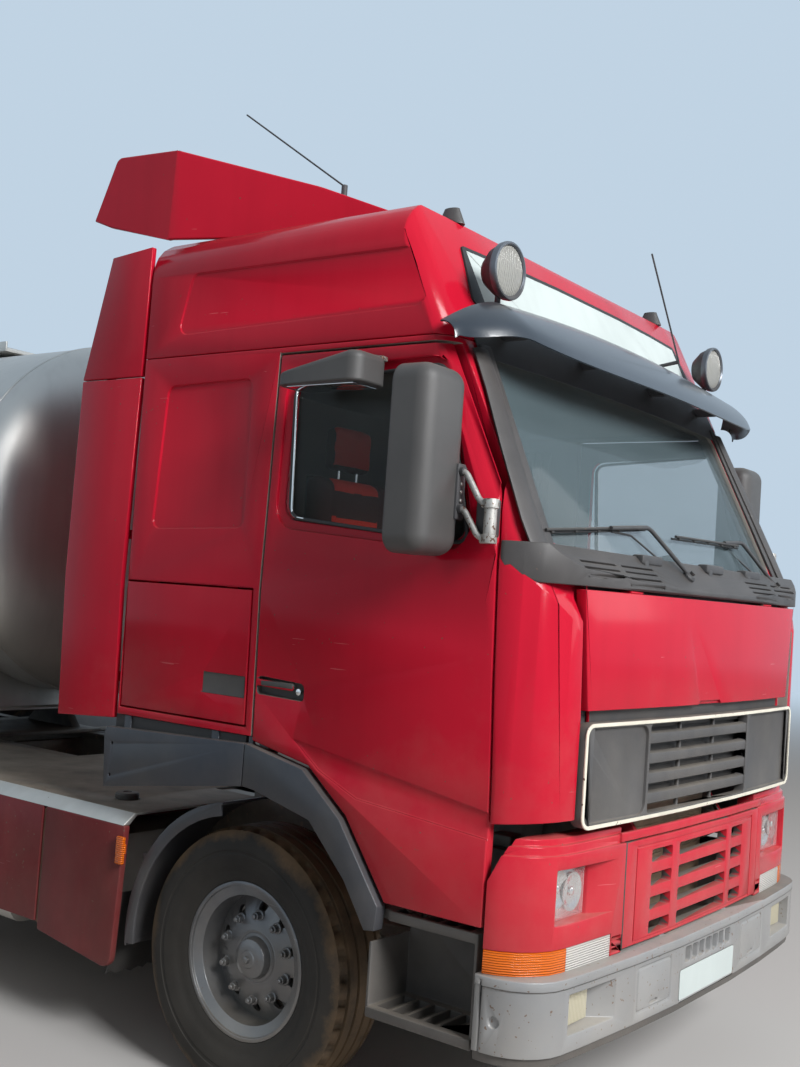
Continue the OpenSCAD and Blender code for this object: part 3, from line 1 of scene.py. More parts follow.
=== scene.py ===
# %% [markdown]
# An articulated tanker lorry, dressed in Blender.
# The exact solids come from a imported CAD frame. This notebook gives them rounded edges, paint, rubber,
# glass and steel, and adds the small parts that catch the eye: tread, nuts, lamps, wipers and seals.
# Every length is in metres. +X is forward, +Y is the driver's left, Z is up, and the ground is at zero.

import bpy
import math
from mathutils import Matrix, Vector
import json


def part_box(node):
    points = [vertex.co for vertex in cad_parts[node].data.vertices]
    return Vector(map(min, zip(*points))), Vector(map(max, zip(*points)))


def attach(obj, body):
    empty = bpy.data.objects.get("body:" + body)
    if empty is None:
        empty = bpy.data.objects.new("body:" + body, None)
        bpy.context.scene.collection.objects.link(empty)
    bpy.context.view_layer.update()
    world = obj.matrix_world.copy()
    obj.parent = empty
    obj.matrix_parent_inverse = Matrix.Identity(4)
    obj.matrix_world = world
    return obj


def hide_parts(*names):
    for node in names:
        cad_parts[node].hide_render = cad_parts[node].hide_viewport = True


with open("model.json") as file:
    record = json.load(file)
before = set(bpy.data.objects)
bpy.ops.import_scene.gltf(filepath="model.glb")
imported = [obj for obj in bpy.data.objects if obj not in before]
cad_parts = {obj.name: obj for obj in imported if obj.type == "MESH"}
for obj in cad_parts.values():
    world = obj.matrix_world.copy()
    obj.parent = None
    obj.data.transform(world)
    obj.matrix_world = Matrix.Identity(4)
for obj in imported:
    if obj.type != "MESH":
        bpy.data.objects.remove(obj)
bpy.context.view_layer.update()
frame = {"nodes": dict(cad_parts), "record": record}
record = frame["record"]
joint_place = {j["name"]: Vector(j["pos_m"]) for j in record["behaviour"]["joints"]}
AXLE_X = joint_place["steer_right"].x
PIN_X = joint_place["trailer_swing"].x
print("front axle at x", round(AXLE_X, 3), "coupling pin at x", round(PIN_X, 3))


def cab(x, y, z):
    """A point given in millimetres from the front axle, as metres in the row frame."""
    return Vector((AXLE_X + x / 1000, y / 1000, z / 1000))


def ahead(x):
    """How far forward a place is in the row frame, given in millimetres from the front axle."""
    return cab(x, 0, 0).x


def side_corners(s, low, high):
    """Two corners of a box, given in millimetres for the left side; s is -1 on the right and 1 on the left."""
    y0, y1 = sorted((s * low[1], s * high[1]))
    return cab(low[0], y0, low[2]), cab(high[0], y1, high[2])


# %% [markdown]
# The photograph was taken by someone standing a little ahead of the lorry's right front corner.
# The camera's place, turn and lens were worked out from points whose real places are known,
# such as the wheel's centre, the cab's corners and the roof line.

# %% The camera
camera_data = bpy.data.cameras.new("photo_camera")
camera_data.sensor_fit = "VERTICAL"
SENSOR = 36.0                                # height in millimetres
FOCAL_LENGTH, PHOTO_HEIGHT = 1215.1, 1067    # in pixels of the photograph
camera_data.sensor_height = SENSOR
camera_data.lens = FOCAL_LENGTH / PHOTO_HEIGHT * SENSOR
camera_data.clip_start = 0.1
camera_data.clip_end = 300.0
camera = bpy.data.objects.new("photo_camera", camera_data)
bpy.context.scene.collection.objects.link(camera)
YAW, PITCH, ROLL = math.radians(126.98), math.radians(2.91), math.radians(3.99)
look = Vector((math.cos(PITCH) * math.cos(YAW), math.cos(PITCH) * math.sin(YAW), math.sin(PITCH)))
right = look.cross(Vector((0, 0, 1))).normalized()
up = right.cross(look)
turned_right = right * math.cos(ROLL) + up * math.sin(ROLL)
turned_up = up * math.cos(ROLL) - right * math.sin(ROLL)
pose = Matrix((turned_right, turned_up, -look)).transposed().to_4x4()
EYE = Vector((AXLE_X + 3.234, -4.627, 1.941))
pose.translation = EYE
camera.matrix_world = pose
bpy.context.scene.camera = camera
print("camera looks", [round(v, 3) for v in look])

# %% [markdown]
# A studio for a lorry is a large pale floor under a pale sky. The world is a soft even light with a slightly
# brighter top, and three big area lamps give the paint long soft highlights: a strong one ahead, a faint one
# to the right and one on the far side. A mirror and a pane see the same plain backdrop as the camera does.
# The floor fades into that backdrop far away, and is the one thing in the scene that isn't part of the lorry.

# %% World, floor and lamps
def seen_rays(tree):
    """Gives 1 to a camera ray, also after a mirror or a pane, and 0 to a ray that only carries light."""
    rays = tree.nodes.new("ShaderNodeLightPath")
    total = rays.outputs["Is Camera Ray"]
    for kind in ("Is Glossy Ray", "Is Transmission Ray"):
        plus = tree.nodes.new("ShaderNodeMath")
        plus.operation = "ADD"
        plus.use_clamp = True
        tree.links.new(total, plus.inputs[0])
        tree.links.new(rays.outputs[kind], plus.inputs[1])
        total = plus.outputs[0]
    return total


scene = bpy.context.scene
scene.view_settings.view_transform = "Standard"
world = bpy.data.worlds.new("pale_sky")
scene.world = world
world.use_nodes = True
sky = world.node_tree
sky.nodes.clear()
out = sky.nodes.new("ShaderNodeOutputWorld")
seen = sky.nodes.new("ShaderNodeBackground")
BACKDROP = (0.53, 0.65, 0.77, 1)
SKY_LIGHT = 0.26
FLOOR_FADE = (9.0, 30.0)    # metres from the origin where the floor starts and ends to turn into the backdrop
seen.inputs["Color"].default_value = BACKDROP
seen.inputs["Strength"].default_value = 1.0
lit = sky.nodes.new("ShaderNodeBackground")
lit.inputs["Strength"].default_value = SKY_LIGHT
slope = sky.nodes.new("ShaderNodeTexCoord")
split = sky.nodes.new("ShaderNodeSeparateXYZ")
ramp = sky.nodes.new("ShaderNodeValToRGB")
ramp.color_ramp.elements[0].position = 0.0
ramp.color_ramp.elements[0].color = (0.40, 0.40, 0.41, 1)
ramp.color_ramp.elements[1].position = 0.75
ramp.color_ramp.elements[1].color = (1.0, 1.0, 1.0, 1)
sky.links.new(slope.outputs["Generated"], split.inputs[0])
sky.links.new(split.outputs["Z"], ramp.inputs[0])
sky.links.new(ramp.outputs["Color"], lit.inputs["Color"])
pick = sky.nodes.new("ShaderNodeMixShader")
sky.links.new(seen_rays(sky), pick.inputs[0])
sky.links.new(lit.outputs[0], pick.inputs[1])
sky.links.new(seen.outputs[0], pick.inputs[2])
sky.links.new(pick.outputs[0], out.inputs["Surface"])


def area_lamp(name, place, target, size, watts):
    """A large square lamp that faces a point."""
    data = bpy.data.lights.new(name, "AREA")
    data.size = size
    data.energy = watts
    lamp = bpy.data.objects.new(name, data)
    scene.collection.objects.link(lamp)
    lamp.location = place
    lamp.rotation_euler = (Vector(target) - Vector(place)).to_track_quat("-Z", "Y").to_euler()
    return lamp


# name, place, target, side in metres, watts
area_lamp("key_lamp", (AXLE_X + 12, -3.5, 9), (AXLE_X, 0, 1.8), 5, 2650)
area_lamp("side_lamp", (AXLE_X - 7, -12, 7), (AXLE_X - 3, 0, 1.5), 8, 40)
area_lamp("far_lamp", (AXLE_X + 9, 8, 6), (AXLE_X, 0, 2), 6, 230)

bpy.ops.object.select_all(action="DESELECT")
bpy.ops.mesh.primitive_plane_add(size=240, location=(0, 0, -0.002))
floor = bpy.context.object
floor.name = "floor"
ground = bpy.data.materials.new("pale_floor")
ground.use_nodes = True
tree = ground.node_tree
matt = tree.nodes["Principled BSDF"]
matt.inputs["Base Color"].default_value = (0.52, 0.51, 0.50, 1)
matt.inputs["Roughness"].default_value = 0.95
matt.inputs["Specular IOR Level"].default_value = 0.1
glow = tree.nodes.new("ShaderNodeEmission")
glow.inputs["Color"].default_value = BACKDROP
where = tree.nodes.new("ShaderNodeTexCoord")
far = tree.nodes.new("ShaderNodeVectorMath")
far.operation = "LENGTH"
fade = tree.nodes.new("ShaderNodeMapRange")
fade.interpolation_type = "SMOOTHSTEP"
fade.inputs["From Min"].default_value, fade.inputs["From Max"].default_value = FLOOR_FADE
direct = tree.nodes.new("ShaderNodeMath")
direct.operation = "MULTIPLY"
blend = tree.nodes.new("ShaderNodeMixShader")
tree.links.new(where.outputs["Object"], far.inputs[0])
tree.links.new(far.outputs["Value"], fade.inputs["Value"])
tree.links.new(fade.outputs[0], direct.inputs[0])
tree.links.new(seen_rays(tree), direct.inputs[1])
tree.links.new(direct.outputs[0], blend.inputs[0])
tree.links.new(matt.outputs[0], blend.inputs[1])
tree.links.new(glow.outputs[0], blend.inputs[2])
tree.links.new(blend.outputs[0], tree.nodes["Material Output"].inputs["Surface"])
floor.data.materials.append(ground)

# %% [markdown]
# Materials first. Several finishes share the same effects: a fine grain, dust that settles low down and on
# ledges, and slow changes of tone. Each effect is a node group that puts out a mask or a height,
# and each material mixes it in with its own strength.

# %% Helpers for node trees
def new_group(name, inputs, outputs):
    """An empty shader node group with named sockets; inputs are (name, default)."""
    tree = bpy.data.node_groups.new(name, "ShaderNodeTree")
    for label, default in inputs:
        kind = "NodeSocketColor" if isinstance(default, tuple) else "NodeSocketFloat"
        socket = tree.interface.new_socket(label, in_out="INPUT", socket_type=kind)
        socket.default_value = default
    for label, kind in outputs:
        tree.interface.new_socket(label, in_out="OUTPUT", socket_type=kind)
    return tree, tree.nodes.new("NodeGroupInput"), tree.nodes.new("NodeGroupOutput")


def add(tree, kind, **values):
    """A node of a kind; values go to its settings or, where the name is a socket's, to that socket."""
    node = tree.nodes.new("ShaderNode" + kind)
    for key, value in values.items():
        label = key.replace("_", " ")
        socket = next((s for s in node.inputs if s.name == label), None)
        if socket is not None and not hasattr(type(node), key):
            socket.default_value = value
        else:
            setattr(node, key, value)
    return node


def math_node(tree, operation, a, b=None):
    """A Math node; a and b are sockets or numbers."""
    node = tree.nodes.new("ShaderNodeMath")
    node.operation = operation
    for socket, value in zip(node.inputs, (a, b)):
        if value is None:
            continue
        if isinstance(value, (int, float)):
            socket.default_value = value
        else:
            tree.links.new(value, socket)
    return node.outputs[0]


def mix_colour(tree, mask, a, b):
    """A colour Mix node; mask, a and b are sockets or values."""
    node = tree.nodes.new("ShaderNodeMix")
    node.data_type = "RGBA"
    for socket, value in zip((node.inputs[0], node.inputs[6], node.inputs[7]), (mask, a, b)):
        if isinstance(value, bpy.types.NodeSocket):
            tree.links.new(value, socket)
        else:
            socket.default_value = value
    return node.outputs[2]


# %% Group: slow tone
# Old paint and plastic are never one value. This gives a soft cloudy mask, and streaks that run down a wall.
tone_tree, tone_in, tone_out = new_group(
    "slow_tone", [("Size", 1.0), ("Streak", 0.0)], [("Mask", "NodeSocketFloat"), ("Streaks", "NodeSocketFloat")])
where = add(tone_tree, "TexCoord")
cloud = add(tone_tree, "TexNoise", Detail=4.0, Roughness=0.55)
tone_tree.links.new(where.outputs["Object"], cloud.inputs["Vector"])
tone_tree.links.new(tone_in.outputs["Size"], cloud.inputs["Scale"])
tall = add(tone_tree, "Mapping")
tall.inputs["Scale"].default_value = (14.0, 14.0, 0.7)
tone_tree.links.new(where.outputs["Object"], tall.inputs["Vector"])
runs = add(tone_tree, "TexNoise", Scale=1.0, Detail=3.0)
tone_tree.links.new(tall.outputs[0], runs.inputs["Vector"])
run_band = add(tone_tree, "MapRange")
run_band.inputs["From Min"].default_value = 0.48
run_band.inputs["From Max"].default_value = 0.72
tone_tree.links.new(runs.outputs[0], run_band.inputs[0])
tone_tree.links.new(cloud.outputs[0], tone_out.inputs["Mask"])
tone_tree.links.new(math_node(tone_tree, "MULTIPLY", run_band.outputs[0], tone_in.outputs["Streak"]),
                    tone_out.inputs["Streaks"])

# %% Group: road dust
# Dust lies thick low down and on faces that look up, and thins out with height. The edge of it is ragged.
dust_tree, dust_in, dust_out = new_group(
    "road_dust", [("Top", 1.2), ("Amount", 0.6), ("Ledges", 0.4)], [("Mask", "NodeSocketFloat")])
spot = add(dust_tree, "TexCoord")
part_xyz = add(dust_tree, "SeparateXYZ")
dust_tree.links.new(spot.outputs["Object"], part_xyz.inputs[0])
ragged = add(dust_tree, "TexNoise", Scale=3.5, Detail=8.0, Roughness=0.65)
dust_tree.links.new(spot.outputs["Object"], ragged.inputs["Vector"])
low = math_node(dust_tree, "DIVIDE", part_xyz.outputs["Z"], dust_in.outputs["Top"])
low = math_node(dust_tree, "SUBTRACT", 1.0, low)
low = math_node(dust_tree, "ADD", low,
                math_node(dust_tree, "MULTIPLY", math_node(dust_tree, "SUBTRACT", ragged.outputs[0], 0.5), 1.2))
low = math_node(dust_tree, "MULTIPLY", low, dust_in.outputs["Amount"])
low = math_node(dust_tree, "MAXIMUM", low, 0.0)
facing = add(dust_tree, "NewGeometry")
up_part = add(dust_tree, "SeparateXYZ")
dust_tree.links.new(facing.outputs["Normal"], up_part.inputs[0])
ledge = math_node(dust_tree, "MAXIMUM", up_part.outputs["Z"], 0.0)
ledge = math_node(dust_tree, "POWER", ledge, 4.0)
ledge = math_node(dust_tree, "MULTIPLY", ledge,
                  math_node(dust_tree, "MULTIPLY", ragged.outputs[0], dust_in.outputs["Ledges"]))
total = math_node(dust_tree, "MINIMUM", math_node(dust_tree, "ADD", low, ledge), 1.0)
dust_tree.links.new(total, dust_out.inputs["Mask"])

# %% Group: moulded grain
# A fine pebbled skin for plastic, rubber and cast iron: two sizes of noise added up as a height.
grain_tree, grain_in, grain_out = new_group("moulded_grain", [("Scale", 600.0)], [("Height", "NodeSocketFloat")])
at = add(grain_tree, "TexCoord")
fine = add(grain_tree, "TexVoronoi")
grain_tree.links.new(at.outputs["Object"], fine.inputs["Vector"])
grain_tree.links.new(grain_in.outputs["Scale"], fine.inputs["Scale"])
coarse = add(grain_tree, "TexNoise", Detail=3.0)
grain_tree.links.new(at.outputs["Object"], coarse.inputs["Vector"])
grain_tree.links.new(math_node(grain_tree, "MULTIPLY", grain_in.outputs["Scale"], 0.35), coarse.inputs["Scale"])
grain_tree.links.new(math_node(grain_tree, "ADD", fine.outputs["Distance"], coarse.outputs[0]),
                     grain_out.inputs["Height"])

# %% Group: scratches and chips
# Small dark chips where stones hit, gathered in patches, and short pale scuffs.
chip_tree, chip_in, chip_out = new_group(
    "chips", [("Scale", 60.0), ("Amount", 0.3)], [("Chips", "NodeSocketFloat"), ("Scuffs", "NodeSocketFloat")])
here = add(chip_tree, "TexCoord")
dots = add(chip_tree, "TexNoise", Detail=2.0, Roughness=0.4)
chip_tree.links.new(here.outputs["Object"], dots.inputs["Vector"])
chip_tree.links.new(chip_in.outputs["Scale"], dots.inputs["Scale"])
patches = add(chip_tree, "TexNoise", Scale=1.6, Detail=3.0)
chip_tree.links.new(here.outputs["Object"], patches.inputs["Vector"])
level = math_node(chip_tree, "SUBTRACT", 0.86,
                  math_node(chip_tree, "MULTIPLY", patches.outputs[0], chip_in.outputs["Amount"]))
hard = math_node(chip_tree, "GREATER_THAN", dots.outputs[0], level)
chip_tree.links.new(hard, chip_out.inputs["Chips"])
long_way = add(chip_tree, "Mapping")
long_way.inputs["Scale"].default_value = (4.0, 4.0, 90.0)
long_way.inputs["Rotation"].default_value = (0.2, 0.35, 0.1)
chip_tree.links.new(here.outputs["Object"], long_way.inputs["Vector"])
lines = add(chip_tree, "TexNoise", Scale=1.0, Detail=2.0)
chip_tree.links.new(long_way.outputs[0], lines.inputs["Vector"])
thin = math_node(chip_tree, "GREATER_THAN", lines.outputs[0], 0.74)
scuffed = math_node(chip_tree, "GREATER_THAN", patches.outputs[0], 0.56)
chip_tree.links.new(math_node(chip_tree, "MULTIPLY", thin, scuffed), chip_out.inputs["Scuffs"])

# %% [markdown]
# A finish is a Principled shader, a base colour that wanders a little, dust mixed over it,
# and a bump from the grain. One maker builds them all from a short list of facts, so paint, plastic, rubber
# and steel differ in their numbers, and the special ones add their own nodes afterwards.

# %% The maker of finishes
DUST = (0.46, 0.40, 0.32, 1)


def finish(name, colour, rough, metal=0.0, tone=0.12, tone_size=1.5, dust=(1.2, 0.0, 0.0), grain=(0.0, 600.0),
           chips=(0.0, 60.0), streak=0.0, coat=0.0, rough_swing=0.08, specular=0.5):
    """A procedural material with a tone that wanders.

    dust is (height it reaches, amount, on ledges), grain is (depth in metres, scale), chips is (amount, scale).
    """
    mat = bpy.data.materials.new(name)
    mat.use_nodes = True
    tree = mat.node_tree
    shader = tree.nodes["Principled BSDF"]
    tone_box = add(tree, "Group", node_tree=tone_tree)
    tone_box.inputs["Size"].default_value = tone_size
    tone_box.inputs["Streak"].default_value = streak
    light = tuple(min(1.0, c * (1 + tone) + tone * 0.02) for c in colour)
    deep = tuple(c * (1 - tone) for c in colour)
    swing = add(tree, "MapRange")
    swing.inputs["From Min"].default_value = 0.3
    swing.inputs["From Max"].default_value = 0.7
    tree.links.new(tone_box.outputs["Mask"], swing.inputs[0])
    base = mix_colour(tree, swing.outputs[0], (*deep, 1), (*light, 1))
    if streak:
        base = mix_colour(tree, tone_box.outputs["Streaks"], base, (*[c * 0.55 for c in colour], 1))
    roughness = math_node(tree, "ADD", rough - rough_swing / 2,
                          math_node(tree, "MULTIPLY", tone_box.outputs["Mask"], rough_swing))
    if chips[0]:
        chip_box = add(tree, "Group", node_tree=chip_tree)
        chip_box.inputs["Scale"].default_value = chips[1]
        chip_box.inputs["Amount"].default_value = chips[0]
        base = mix_colour(tree, chip_box.outputs["Chips"], base, (0.12, 0.07, 0.05, 1))
        base = mix_colour(tree, math_node(tree, "MULTIPLY", chip_box.outputs["Scuffs"], 0.35), base,
                          (*[min(1, c + 0.25) for c in colour], 1))
    if dust[1] or dust[2]:
        dust_box = add(tree, "Group", node_tree=dust_tree)
        for label, value in zip(("Top", "Amount", "Ledges"), dust):
            dust_box.inputs[label].default_value = value
        base = mix_colour(tree, dust_box.outputs["Mask"], base, DUST)
        roughness = math_node(tree, "MAXIMUM", roughness, math_node(tree, "MULTIPLY", dust_box.outputs["Mask"], 0.85))
    tree.links.new(base, shader.inputs["Base Color"])
    tree.links.new(roughness, shader.inputs["Roughness"])
    shader.inputs["Metallic"].default_value = metal
    shader.inputs["Coat Weight"].default_value = coat
    shader.inputs["Coat Roughness"].default_value = 0.08
    shader.inputs["Specular IOR Level"].default_value = specular
    if grain[0]:
        grain_box = add(tree, "Group", node_tree=grain_tree)
        grain_box.inputs["Scale"].default_value = grain[1]
        bump = add(tree, "Bump", Distance=grain[0])
        bump.inputs["Strength"].default_value = 0.6
        tree.links.new(grain_box.outputs["Height"], bump.inputs["Height"])
        tree.links.new(bump.outputs[0], shader.inputs["Normal"])
    return mat


# %% The finishes of the cab and chassis
RED = (0.46, 0.006, 0.024)
red_paint = finish("red_paint", RED, 0.17, tone=0.10, tone_size=0.9, dust=(1.5, 0.16, 0.30), chips=(0.18, 85.0),
                   coat=0.08, specular=0.12, grain=(0.00012, 140.0), streak=0.10)
black_plastic = finish("black_plastic", (0.040, 0.040, 0.043), 0.58, tone=0.25, tone_size=2.5, dust=(2.2, 0.18, 0.35),
                       grain=(0.0004, 900.0), streak=0.25)
grey_plastic = finish("grey_plastic", (0.058, 0.056, 0.055), 0.50, tone=0.2, tone_size=2.0, dust=(1.6, 0.22, 0.35),
                      grain=(0.0004, 900.0))
bumper_grey = finish("bumper_grey", (0.225, 0.235, 0.245), 0.45, tone=0.12, tone_size=2.0, dust=(1.0, 0.35, 0.5),
                     grain=(0.0002, 700.0), chips=(0.3, 70.0), coat=0.1)
# the skirts' red is far darker than the cab's: partly dirt, partly painted shade for their low place under the cab
red_skirt = finish("red_skirt", (0.15, 0.006, 0.012), 0.34, tone=0.3, tone_size=2.0, dust=(1.2, 0.12, 0.3),
                   chips=(0.25, 60.0), coat=0.05, specular=0.2, grain=(0.00012, 140.0), streak=0.3)
deck_plate = finish("deck_plate", (0.125, 0.105, 0.080), 0.72, metal=0.2, tone=0.4, tone_size=5.0,
                    dust=(1.2, 0.5, 0.5), grain=(0.0006, 160.0), chips=(0.3, 30.0))
visor_blue = finish("visor_blue", (0.022, 0.030, 0.042), 0.30, tone=0.15, tone_size=1.2, dust=(1.4, 0.10, 0.2),
                    grain=(0.0001, 600.0), coat=0.3, streak=0.1)
pillar_grey = finish("pillar_grey", (0.040, 0.036, 0.035), 0.5, tone=0.3, tone_size=3.0, dust=(1.2, 0.18, 0.3),
                     grain=(0.0004, 700.0), chips=(0.15, 60.0))
guard_blue = finish("guard_blue", (0.022, 0.027, 0.038), 0.36, tone=0.2, dust=(1.4, 0.16, 0.3), grain=(0.0004, 700.0))
chassis_black = finish("chassis_black", (0.030, 0.028, 0.027), 0.55, tone=0.3, dust=(1.3, 0.55, 0.5),
                       grain=(0.0006, 300.0), chips=(0.3, 40.0))
engine_iron = finish("engine_iron", (0.11, 0.13, 0.12), 0.5, metal=0.3, tone=0.3, dust=(1.2, 0.5, 0.5),
                     grain=(0.001, 200.0))
tyre_rubber = finish("tyre_rubber", (0.009, 0.0085, 0.008), 0.66, tone=0.3, tone_size=3.0, specular=0.25,
                     dust=(1.3, 0.06, 0.05), grain=(0.0006, 420.0))
wheel_silver = finish("wheel_silver", (0.115, 0.127, 0.145), 0.34, metal=0.6, tone=0.2, tone_size=4.0,
                      dust=(1.0, 0.40, 0.3), grain=(0.0003, 400.0), chips=(0.15, 60.0))
old_aluminium = finish("old_aluminium", (0.50, 0.50, 0.48), 0.45, metal=0.75, tone=0.15, tone_size=4.0,
                       dust=(1.3, 0.4, 0.6), grain=(0.0003, 300.0), chips=(0.2, 50.0))
black_rubber = finish("black_rubber", (0.016, 0.016, 0.017), 0.6, tone=0.2, dust=(2.0, 0.05, 0.1),
                      grain=(0.0002, 1200.0))
chrome = finish("chrome_trim", (0.72, 0.72, 0.70), 0.16, metal=1.0, tone=0.06, dust=(1.2, 0.2, 0.2),
                grain=(0.00005, 400.0))
pale_trim = finish("pale_trim", (0.66, 0.63, 0.53), 0.38, tone=0.12, tone_size=6.0, dust=(1.6, 0.2, 0.3),
                   grain=(0.0001, 400.0), chips=(0.3, 60.0))
pale_sign = finish("pale_sign", (0.50, 0.56, 0.55), 0.45, tone=0.08, dust=(1.0, 0.0, 0.2), grain=(0.0001, 300.0),
                   streak=0.1)
cabin_plastic = finish("cabin_plastic", (0.055, 0.055, 0.058), 0.6, tone=0.15, grain=(0.0003, 1000.0),
                       dust=(1.0, 0.0, 0.25))
cabin_cloth = finish("cabin_lining", (0.22, 0.20, 0.18), 0.9, tone=0.12, grain=(0.0006, 700.0))
rust = finish("rusty_strap", (0.10, 0.035, 0.018), 0.85, tone=0.5, tone_size=9.0, dust=(1.2, 0.3, 0.3),
              grain=(0.0008, 260.0))
core_fins = finish("core_fins", (0.30, 0.22, 0.14), 0.55, metal=0.6, tone=0.3, tone_size=12.0, dust=(2.0, 0.35, 0.2),
                   grain=(0.0008, 300.0))

# %% [markdown]
# Stainless steel is brushed round the tank, so its fine lines run round the shell and the highlight
# stretches along it. Very thin stretched noise in the roughness gives that, without any picture.

# %% Tank steel
tank_steel = finish("tank_steel", (0.56, 0.545, 0.52), 0.40, metal=0.80, tone=0.10, tone_size=0.9,
                    dust=(3.0, 0.10, 0.12), streak=0.15)
tree = tank_steel.node_tree
shader = tree.nodes["Principled BSDF"]
turn = add(tree, "Mapping")
turn.inputs["Scale"].default_value = (60.0, 1.5, 1.5)
place = add(tree, "TexCoord")
tree.links.new(place.outputs["Object"], turn.inputs["Vector"])
brush = add(tree, "TexNoise", Scale=1.0, Detail=2.0)
tree.links.new(turn.outputs[0], brush.inputs["Vector"])
before = shader.inputs["Roughness"].links[0].from_socket
swing = math_node(tree, "MULTIPLY", math_node(tree, "SUBTRACT", brush.outputs[0], 0.5), 0.12)
tree.links.new(math_node(tree, "ADD", before, swing), shader.inputs["Roughness"])


# %% Glass and lenses
def glassy(name, colour, alpha, rough=0.03, ribs=0.0, rib_axis=1):
    """A clear or tinted sheet. ribs is the pitch of moulded lines across the lens, in metres."""
    mat = bpy.data.materials.new(name)
    mat.use_nodes = True
    tree = mat.node_tree
    shader = tree.nodes["Principled BSDF"]
    shader.inputs["IOR"].default_value = 1.45
    tone_box = add(tree, "Group", node_tree=tone_tree)
    tone_box.inputs["Size"].default_value = 3.0
    base = mix_colour(tree, tone_box.outputs["Mask"], (*[c * 0.9 for c in colour], 1), (*colour, 1))
    tree.links.new(base, shader.inputs["Base Color"])
    smear = math_node(tree, "ADD", rough, math_node(tree, "MULTIPLY", tone_box.outputs["Mask"], 0.06))
    tree.links.new(smear, shader.inputs["Roughness"])
    clear = math_node(tree, "ADD", alpha, math_node(tree, "MULTIPLY", tone_box.outputs["Mask"], 0.06))
    tree.links.new(clear, shader.inputs["Alpha"])
    if ribs:
        place = add(tree, "TexCoord")
        part = add(tree, "SeparateXYZ")
        tree.links.new(place.outputs["Object"], part.inputs[0])
        wave = math_node(tree, "SINE", math_node(tree, "MULTIPLY", part.outputs[rib_axis], 2 * math.pi / ribs))
        bump = add(tree, "Bump", Distance=ribs * 0.25)
        tree.links.new(wave, bump.inputs["Height"])
        tree.links.new(bump.outputs[0], shader.inputs["Normal"])
    return mat


window_glass = glassy("window_glass", (0.035, 0.045, 0.045), 0.16, 0.02)
screen_glass = glassy("screen_glass", (0.13, 0.18, 0.20), 0.34, 0.03)
roof_glass = glassy("roof_glass", (0.46, 0.46, 0.43), 0.80, 0.14, ribs=0.012)
fog_glass = glassy("fog_glass", (0.86, 0.80, 0.60), 0.62, 0.10, ribs=0.010)
lamp_glass = glassy("lamp_glass", (0.80, 0.82, 0.82), 0.14, 0.05, ribs=0.012)
amber_lens = glassy("amber_lens", (0.80, 0.16, 0.01), 0.93, 0.12, ribs=0.008, rib_axis=2)
clear_lens = glassy("clear_lens", (0.72, 0.70, 0.66), 0.85, 0.12, ribs=0.008, rib_axis=2)
red_lens = glassy("red_lens", (0.50, 0.01, 0.01), 0.93, 0.12, ribs=0.008, rib_axis=2)
mirror_glass = finish("mirror_glass", (0.85, 0.87, 0.88), 0.03, metal=1.0, tone=0.02, rough_swing=0.02)

# %% [markdown]
# The solids arrive with knife-sharp edges, and nothing real has those. Each one that shows is copied, its loose
# triangles are merged and flat areas cleaned, and a small bevel rounds every sharp edge, so that the edge catches
# the light as pressed steel or moulded plastic does. The copy then stands for its node and rides with its body.

# %% Dress a node
BEVEL_FROM = math.radians(32)      # an edge sharper than this gets a bevel
SMOOTH_BELOW = math.radians(40)    # an edge flatter than this is shaded smooth
BENT_SMOOTH = math.radians(50)     # the same, on bent sheets and tubes


def only(obj):
    """Leaves one object selected and active."""
    bpy.ops.object.select_all(action="DESELECT")
    obj.select_set(True)
    bpy.context.view_layer.objects.active = obj


def pick_faces(obj, test):
    """Selects the faces that pass a test, and no others, ready for edit mode."""
    only(obj)
    bpy.ops.object.mode_set(mode="EDIT")
    bpy.ops.mesh.select_mode(type="FACE")
    bpy.ops.mesh.select_all(action="DESELECT")
    bpy.ops.object.mode_set(mode="OBJECT")
    for face in obj.data.polygons:
        face.select = bool(test(face))


def apply_all(obj):
    """Applies every modifier of an object."""
    only(obj)
    for mod in list(obj.modifiers):
        bpy.ops.object.modifier_apply(modifier=mod.name)


def soften(obj, width, segments=2):
    """Rounds the sharp edges by a bevel and shades the rest smooth."""
    only(obj)
    if width:
        mod = obj.modifiers.new("edge", "BEVEL")
        mod.width = width
        mod.segments = segments
        mod.limit_method = "ANGLE"
        mod.angle_limit = BEVEL_FROM
        mod.use_clamp_overlap = False
        mod.miter_outer = "MITER_ARC"
        bpy.ops.object.modifier_apply(modifier=mod.name)
    bpy.ops.object.shade_smooth_by_angle(angle=SMOOTH_BELOW)


def body_of(node):
    """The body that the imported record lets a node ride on."""
    return next(b for b, names in record["behaviour"]["bodies"].items() if node in names)


def copy_node(node, name, dissolve=1.0):
    """A merged copy of a node's mesh as a new object, with flat areas cleaned."""
    source = frame["nodes"][node]
    obj = bpy.data.objects.new(name, source.data.copy())
    scene.collection.objects.link(obj)
    obj.data.materials.clear()
    only(obj)
    bpy.ops.object.mode_set(mode="EDIT")
    bpy.ops.mesh.select_all(action="SELECT")
    bpy.ops.mesh.remove_doubles(threshold=0.00002)
    if dissolve:
        bpy.ops.mesh.dissolve_limited(angle_limit=math.radians(dissolve))
    bpy.ops.object.mode_set(mode="OBJECT")
    return obj


def dress(node, material, width, extra=(), dissolve=1.0):
    """A softened copy of a node; extra is a list of (material, test of a face's centre and normal)."""
    obj = copy_node(node, "dressed_" + node, dissolve)
    obj.data.materials.append(material)
    for k, (other, test) in enumerate(extra, 1):
        obj.data.materials.append(other)
        for face in obj.data.polygons:
            if test(face.center, face.normal):
                face.material_index = k
    soften(obj, width)
    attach(obj, body_of(node))
    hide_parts(node)
    return obj


# %% Dress the nodes of one finish
HALF = 1.25    # half the cab's width
